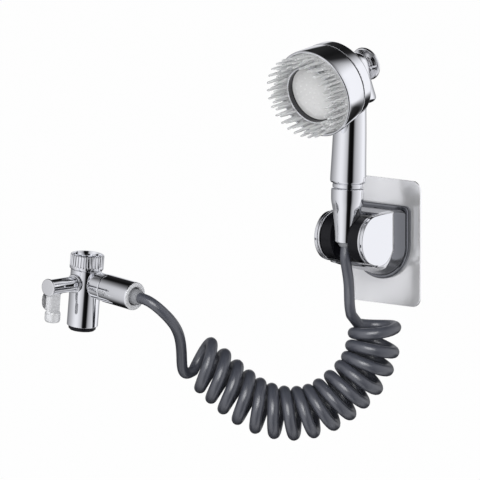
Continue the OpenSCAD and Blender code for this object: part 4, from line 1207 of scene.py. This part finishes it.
# Outlines of (radius, height) in millimetres: POST and LIP on the body's upright axis, BONNET and LEVER_CAP on
# the lever's, COUPLING and COLLAR on the outlet's, TIP and THUMB on axes of their own
POST = (
    (0, -35), (11.7, -35), (12.1, -34.8), (12.3, -34.3), (12.3, 9.8), (12.1, 10.3), (11.7, 10.5), (8.0, 10.5),
    (8.0, 12.7), (10.9, 12.7), (10.9, 14.0), (0, 14.0),
)
LIP = ((8.2, -38.4), (9.6, -38.4), (10.8, -37.2), (10.8, -35.1), (9.7, -35.1), (9.7, -31.4), (8.2, -31.4))
BONNET = ((3.4, 9.6), (6.2, 9.6), (6.2, 12.5), (7.4, 12.5), (7.4, 13.2), (6.9, 13.7), (3.4, 13.7))
LEVER_CAP = ((0, 40.6), (6.9, 40.6), (6.9, 41.5), (6.7, 42.0), (6.2, 42.2), (0, 42.2))
COUPLING = (
    (8.3, 24.3), (10.7, 24.3), (11.2, 24.9), (11.2, 53.6), (11.0, 54.6), (10.4, 55.3), (8.2, 55.3), (7.4, 54.9),
    (6.9, 53.8), (6.9, 42.0), (8.3, 40.0),
)
COUPLING_END = 54.3
COLLAR = ((2.5, 42.3), (6.2, 42.3), (6.2, 57.3), (5.9, 58.8), (5.3, 59.8), (4.4, 60.3), (2.5, 60.3))
TIP = (
    (0, -28.5), (4.2, -28.5), (5.3, -28.0), (5.9, -27.2), (6.2, -26.2), (6.2, -21.3), (5.9, -20.5), (5.3, -20.1),
    (0, -20.1),
)
THUMB = (
    (0, 0), (8.6, 0), (9.1, 0.5), (9.2, 1.2), (9.15, 2.2), (8.7, 3.2), (7.6, 4.2), (6.0, 4.9), (4.0, 5.3), (0, 5.5),
)
# The branch and its neck and nose: radius and how far out they reach, in millimetres
BRANCH = (10.7, 24.0)
BRANCH_FROM = 13.2
NECK = (7.4, 14.0)
NOSE = (7.9, 33.5)
# Radii of the water's way down, of the mouth and of the stem's bore, and the mouth's height
WATERWAY = 5.4
MOUTH = 9.8
MOUTH_TOP = 31.0
STEM_BORE = 6.6
# The lever: the blade's distance out, half thickness and low end; the hub's radius and ends; its bore and floor
LEVER_OUT = 34.3
BLADE_RADIUS = 6.2
BLADE_HALF = 2.0
BLADE_LOW = 21.1
HUB_RADIUS = 6.0
HUB_ENDS = (14.0, 40.5)
HUB_BORE = 3.3
BORE_FLOOR = 32.0
# The thumb boss: how far below the hub, and how far behind the blade
THUMB_DOWN = 11.05
THUMB_BACK = 1.5
# The inlet nut: radius, height and depth of its grooves in millimetres
INLET_NUT = (
    (8.15, 10.9, 0), (12.8, 10.9, 0), (13.2, 11.1, 0), (13.4, 11.6, 0), (13.4, 13.4, 0), (13.4, 14.2, 0.62),
    (13.4, 21.7, 0.62), (13.2, 22.2, 0.55), (12.8, 22.4, 0.3), (11.5, 22.4, 0), (11.4, 22.2, 0), (11.4, 15.7, 0),
    (11.7, 15.7, 0), (11.7, 12.6, 0), (8.15, 12.6, 0),
)
GROOVES = 36
GROOVE_STEPS = 12
GROOVE_WIDTH = 0.62


class SPRAYER_OT_diverter(bpy.types.Operator):
    """Builds the diverter: cast body, knurled inlet nut, coupling nut, collar, lip and lever."""

    bl_idname = "sprayer.diverter"
    bl_label = "Diverter"

    def execute(self, context):
        post = turned_solid(POST)

        def body(x, y, z):
            off_branch, off_post = np.hypot(y, z), np.hypot(x, y)
            branch = overlap(off_branch - BRANCH[0], np.maximum(BRANCH_FROM - x, x - BRANCH[1]), 1.2)
            branch = np.minimum(branch, np.maximum(off_branch - NECK[0], np.maximum(-x, x - NECK[1])))
            nose = np.maximum(off_branch - NOSE[0], np.maximum(-x, x - NOSE[1]))
            both = np.minimum(join(post(x, y, z), branch, 0.8), nose)
            bore = np.minimum(off_post - WATERWAY, np.maximum(off_post - MOUTH, z + MOUTH_TOP))
            bore = np.minimum(bore, np.maximum(np.hypot(x, z) - STEM_BORE, y))
            return overlap(both, -bore, 0.3)

        casting = cast("valve_casting", body, (-13.5, -13.5, -36.5), (34.5, 13.5, 15), 0.5, DIVERTER)
        dress(casting, "wall_holder", "Polished chrome", "plated_brass", "diverter_body")
        dress(turned("bonnet", BONNET, LEVER, 0.3), "wall_holder", "Polished chrome", "plated_brass", "bonnet_nut")
        self.inlet_nut()
        coupling = turned("coupling", COUPLING, OUTLET, 0.3)
        dress(coupling, "outlet_nut", "Polished chrome", "plated_brass", "coupling_nut")
        refinish(coupling, "Satin chrome", OUTLET, lambda x, y, z: z > COUPLING_END)
        dress(turned("collar", COLLAR, OUTLET, 0.3), "wall_holder", "Grey moulding", "grey_plastic", "hose_collar")
        lip = turned("aerator_lip", LIP, DIVERTER, 0.3)
        dress(lip, "wall_holder", "Gloss black", "black_plastic", "aerator_housing")
        self.lever()
        return {"FINISHED"}

    def inlet_nut(self):
        """A nut with 36 finger grooves above a plain band."""
        bm = bmesh.new()
        rings = []
        for r, z, groove in INLET_NUT:
            ring = []
            for k, (c, s) in enumerate(circle(GROOVES * GROOVE_STEPS)):
                share = (k % GROOVE_STEPS) / GROOVE_STEPS * 2 - 1
                cut = groove * max(0.0, 1 - (abs(share) / GROOVE_WIDTH) ** 2) ** 0.5
                ring.append(bm.verts.new(((r - cut) * MM * c, (r - cut) * MM * s, z * MM)))
            rings.append(ring)
        skin(bm, rings + rings[:1])
        nut = mesh_piece("supply_nut", bm, DIVERTER, 35.0)
        dress(nut, "supply_nut", "Polished chrome", "plated_brass", "inlet_nut")

    def lever(self):
        """The lever in one skin: hub, blade, round tip and thumb boss."""
        tip, thumb = turned_solid(TIP), turned_solid(THUMB)

        def arm(x, y, z):
            out = y + LEVER_OUT
            hub = np.maximum(np.hypot(x, z) - HUB_RADIUS, np.maximum(y + HUB_ENDS[0], -HUB_ENDS[1] - y))
            blade = overlap(np.hypot(x, out) - BLADE_RADIUS, np.abs(x) - BLADE_HALF, 1.2)
            blade = np.maximum(blade, np.maximum(z, -BLADE_LOW - z))
            boss = thumb(out, z + THUMB_DOWN, -(x + THUMB_BACK))
            solid = join(join(hub, blade, 1.6), tip(x, out, z), 0.8)
            solid = join(solid, boss, 0.6)
            bore = np.maximum(np.hypot(x, z) - HUB_BORE, -BORE_FLOOR - y)
            return overlap(solid, -bore, 0.2)

        lever = cast("lever", arm, (-8, -41.5, -29.5), (7, -13, 7), 0.4, DIVERTER)
        dress(lever, "diverter_lever", "Satin chrome", "plated_brass", "lever_arm")
        refinish(lever, "Polished chrome", DIVERTER, lambda x, y, z: math.hypot(x, z) < HUB_RADIUS + 0.15)
        cap = turned("lever_end", LEVER_CAP, LEVER, 0.2)
        dress(cap, "diverter_lever", "Bright chrome", "plated_plastic", "lever_cap")


# ---------------------------------------------------------------- finishes of the turned and cast nodes

FINISHES = {
    "Foam tape": ("adhesive_pad",),
    "Plate steel": ("wall_plate",),
    "Bright steel": ("mount_stud", "stud_nut", "pivot_pins", "stop_spring", "inlet_screen"),
    "Polished chrome": (
        "base_flange", "holder_body", "end_cap_left", "end_cap_right", "front_ring", "recess_ring", "rear_housing",
        "handle_shell", "handle_nipple", "cone_nut", "stop_button", "diverter_body", "bonnet_nut", "inlet_nut",
        "coupling_nut", "lever_arm", "lever_cap",
    ),
    "Black oxide": ("grub_screw",),
    "Gloss black": ("cradle_barrel", "aerator_housing"),
    "Seal rubber": (
        "friction_washers", "neck_seal", "face_seal", "valve_seal", "nut_washer", "inlet_washer", "outlet_washer",
        "shaft_o_ring",
    ),
    "Clear silicone": ("brush_ring",),
    "Spray plate": ("spray_plate",),
    "White moulding": ("face_carrier", "diffuser", "handle_core", "flow_restrictor", "valve_body"),
    "Grey moulding": ("hose_ferrule", "hose_collar", "aerator_screen"),
    "Slate hose": ("hose_tail_handset", "hose_coil", "hose_tail_diverter"),
    "Turned brass": ("hose_end_fitting", "hose_tail_piece", "stop_stem", "valve_plug", "lever_shaft"),
}


class SPRAYER_OT_finishes(bpy.types.Operator):
    """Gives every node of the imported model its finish."""

    bl_idname = "sprayer.finishes"
    bl_label = "Finishes"

    def execute(self, context):
        left = set(nodes)
        for material, names in FINISHES.items():
            for name in names:
                node = nodes[name]
                node.data.materials.clear()
                node.data.materials.append(bpy.data.materials[material])
                left.discard(name)
        if left:
            raise RuntimeError(f"no finish for {sorted(left)}")
        return {"FINISHED"}


# ---------------------------------------------------------------- stage

# Brightness round the horizon, by the angle from the camera to its right, in degrees
ROUND_ABOUT = (
    (-180, 0.80), (-168, 0.45), (-152, 0.20), (-143, 0.235), (-113, 0.42), (-92, 0.565), (-74, 0.75), (-55, 0.875),
    (-40, 0.84), (-23, 0.66), (-10, 0.46), (-5, 0.13), (0, 0.008), (20, 0.002), (27, 0.015), (34, 0.27), (44, 0.47),
    (60, 0.60), (83, 0.79), (104, 0.96), (122, 0.95), (143, 0.50), (155, 0.30), (168, 0.45), (180, 0.80),
)
MIRRORED_TINT = (("Red", 0.975), ("Green", 0.98), ("Blue", 1.02))
# How much of the mirrored light the dark roof and the dark low corner take away
DARKNESS = 0.97
SOFT_TINT = (0.96, 0.965, 0.98, 1)
SOFT_STRENGTH = 0.32
WHITE = (1, 1, 1, 1)
FLOOR_HEIGHT = -0.42
FLOOR_HALF = 20.0
FLOOR_COLOUR = (0.86, 0.86, 0.86, 1)
FLOOR_WHITE = 0.985
KIT_MIDDLE = Vector((-0.07, -0.09, 0))
HOSE_MIDDLE = Vector((-0.07, -0.09, -0.1))
# Lamps: place, what they point at, width in metres and power in watts
LAMPS = (
    ("Key", Vector((-0.9, -1.6, 1.5)), KIT_MIDDLE, 1.2, 16.0),
    ("Fill", Vector((1.3, -1.75, 0.75)), KIT_MIDDLE, 1.2, 36.0),
    ("Hose light", HOSE_MIDDLE + 2.0 * BACKWARD + Vector((-0.25, -0.2, 0.5)), HOSE_MIDDLE, 1.5, 28.0),
)


class SPRAYER_OT_stage(bpy.types.Operator):
    """Lays the pale floor, the studio surroundings and the soft lamps."""

    bl_idname = "sprayer.stage"
    bl_label = "Stage"

    def execute(self, context):
        context.scene.view_settings.view_transform = "Standard"
        self.surroundings(context)
        self.floor()
        self.lamps()
        return {"FINISHED"}

    def surroundings(self, context):
        """A studio that metal mirrors: pale walls round about, a dark strip in front and a dark roof behind."""
        world = bpy.data.worlds.new("Studio")
        context.scene.world = world
        world.use_nodes = True
        tree = world.node_tree
        tree.nodes.clear()
        place = add_node(tree, "ShaderNodeTexCoord").outputs["Generated"]

        def along(way):
            return add_node(tree, "ShaderNodeVectorMath", {0: place, 1: way}, operation="DOT_PRODUCT").outputs["Value"]

        def smooth(value, low, high):
            ends = {"Value": value, "From Min": low, "From Max": high}
            return add_node(tree, "ShaderNodeMapRange", ends, interpolation_type="SMOOTHSTEP").outputs["Result"]

        def lit(colour, strength=1.0):
            return add_node(tree, "ShaderNodeBackground", {"Color": colour, "Strength": strength}).outputs["Background"]

        front = Vector((BACKWARD.x, BACKWARD.y, 0)).normalized()
        ahead, aside, up = along(front), along(RIGHTWARD), along((0, 0, 1))
        bearing = calc(tree, "ARCTAN2", aside, ahead)
        ring = add_node(tree, "ShaderNodeValToRGB", {"Fac": calc(tree, "MULTIPLY_ADD", bearing, 0.5 / math.pi, 0.5)})
        spots = ring.color_ramp.elements
        while len(spots) > 1:
            spots.remove(spots[-1])
        for i, (angle, value) in enumerate(ROUND_ABOUT):
            at = (angle + 180) / 360
            spot = spots[0] if i == 0 else spots.new(at)
            spot.position = at
            spot.color = (value, value, value, 1.0)

        # the roof comes down towards the back, and the cellar is a dark corner low down at the back
        behind = smooth(ahead, -0.25, -0.85)
        low_edge = calc(tree, "MULTIPLY_ADD", behind, -0.22, 0.46)
        high_edge = calc(tree, "MULTIPLY_ADD", behind, -0.55, 0.95)
        roof = smooth(up, low_edge, high_edge)
        cellar = calc(tree, "MULTIPLY", smooth(up, -0.25, -0.38), smooth(ahead, -0.05, -0.6))
        dark = calc(tree, "MAXIMUM", roof, cellar)
        share = calc(tree, "SUBTRACT", 1.0, calc(tree, "MULTIPLY", dark, DARKNESS))
        level = calc(tree, "MULTIPLY", ring.outputs["Color"], share)
        tint = {name: calc(tree, "MULTIPLY", level, part) for name, part in MIRRORED_TINT}
        mirrored = lit(add_node(tree, "ShaderNodeCombineColor", tint).outputs["Color"])

        path = add_node(tree, "ShaderNodeLightPath").outputs
        lighting = {"Fac": path["Is Glossy Ray"], 1: lit(SOFT_TINT, SOFT_STRENGTH), 2: mirrored}
        unseen = add_node(tree, "ShaderNodeMixShader", lighting).outputs["Shader"]
        through = calc(tree, "MAXIMUM", path["Is Camera Ray"], path["Is Transmission Ray"])
        backdrop = add_node(tree, "ShaderNodeMixShader", {"Fac": through, 1: unseen, 2: lit(WHITE)})
        add_node(tree, "ShaderNodeOutputWorld", {"Surface": backdrop.outputs["Shader"]})

    def floor(self):
        bm = bmesh.new()
        bmesh.ops.create_grid(bm, x_segments=2, y_segments=2, size=FLOOR_HALF)
        floor = mesh_piece("floor", bm, Matrix.Translation((0, 0, FLOOR_HEIGHT)))
        tree, shader, surface = new_material("Pale floor")
        shader.inputs["Base Color"].default_value = FLOOR_COLOUR
        shader.inputs["Roughness"].default_value = 0.9
        shader.inputs["Specular IOR Level"].default_value = 0.0
        plain = add_node(tree, "ShaderNodeEmission", {"Color": WHITE}).outputs["Emission"]
        seen = calc(tree, "MULTIPLY", add_node(tree, "ShaderNodeLightPath").outputs["Is Camera Ray"], FLOOR_WHITE)
        mix = add_node(tree, "ShaderNodeMixShader", {"Fac": seen, 1: shader.outputs["BSDF"], 2: plain})
        feed(tree, surface, mix.outputs["Shader"])
        floor.data.materials.append(bpy.data.materials["Pale floor"])
        floor.visible_glossy = False
        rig.stage(floor)

    def lamps(self):
        """Two soft lamps for the whole kit, and a broad one in front that lights only the hose."""
        for name, place, aim, width, power in LAMPS:
            data = bpy.data.lights.new(name, "AREA")
            data.shape = "SQUARE"
            data.size = width
            data.energy = power
            lamp = link(bpy.data.objects.new(name, data))
            lamp.location = place
            lamp.rotation_euler = (aim - place).to_track_quat("-Z", "Y").to_euler()
            lamp.visible_glossy = name == "Hose light"
        receivers = bpy.data.collections.new("Lit by the hose light")
        for name in ("hose", "hose_tail"):
            receivers.objects.link(bpy.data.objects[name])
        bpy.data.objects["Hose light"].light_linking.receiver_collection = receivers


# ---------------------------------------------------------------- panel and registration


class SPRAYER_PT_kit(bpy.types.Panel):
    """Lists the steps that build the sprayer's looks."""

    bl_idname = "SPRAYER_PT_kit"
    bl_label = "Bath sprayer"
    bl_space_type = "VIEW_3D"
    bl_region_type = "UI"
    bl_category = "Sprayer"

    def draw(self, context):
        layout = self.layout
        for step in STEPS:
            layout.operator(step.bl_idname)
        for group in (context.scene.sprayer_sizes, context.scene.sprayer_colours):
            box = layout.box()
            for name in group.__annotations__:
                box.prop(group, name)


STEPS = (
    SPRAYER_OT_materials,
    SPRAYER_OT_camera,
    SPRAYER_OT_hose,
    SPRAYER_OT_brush,
    SPRAYER_OT_head,
    SPRAYER_OT_handle,
    SPRAYER_OT_holder,
    SPRAYER_OT_diverter,
    SPRAYER_OT_finishes,
    SPRAYER_OT_stage,
)


def register():
    for cls in (SprayerSizes, SprayerColours, *STEPS, SPRAYER_PT_kit):
        bpy.utils.register_class(cls)
    bpy.types.Scene.sprayer_sizes = PointerProperty(type=SprayerSizes)
    bpy.types.Scene.sprayer_colours = PointerProperty(type=SprayerColours)


def unregister():
    del bpy.types.Scene.sprayer_colours
    del bpy.types.Scene.sprayer_sizes
    for cls in reversed((SprayerSizes, SprayerColours, *STEPS, SPRAYER_PT_kit)):
        bpy.utils.unregister_class(cls)


def main():
    register()
    for step in STEPS:
        group, name = step.bl_idname.split(".")
        getattr(getattr(bpy.ops, group), name)()
    boxes = {"cad": [list(map(float, p)) for p in cad_box], "visual": [list(map(float, p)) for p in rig.bounds()]}
    with open("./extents.json", "w") as out:
        json.dump(boxes, out)


if __name__ == "__main__":
    main()
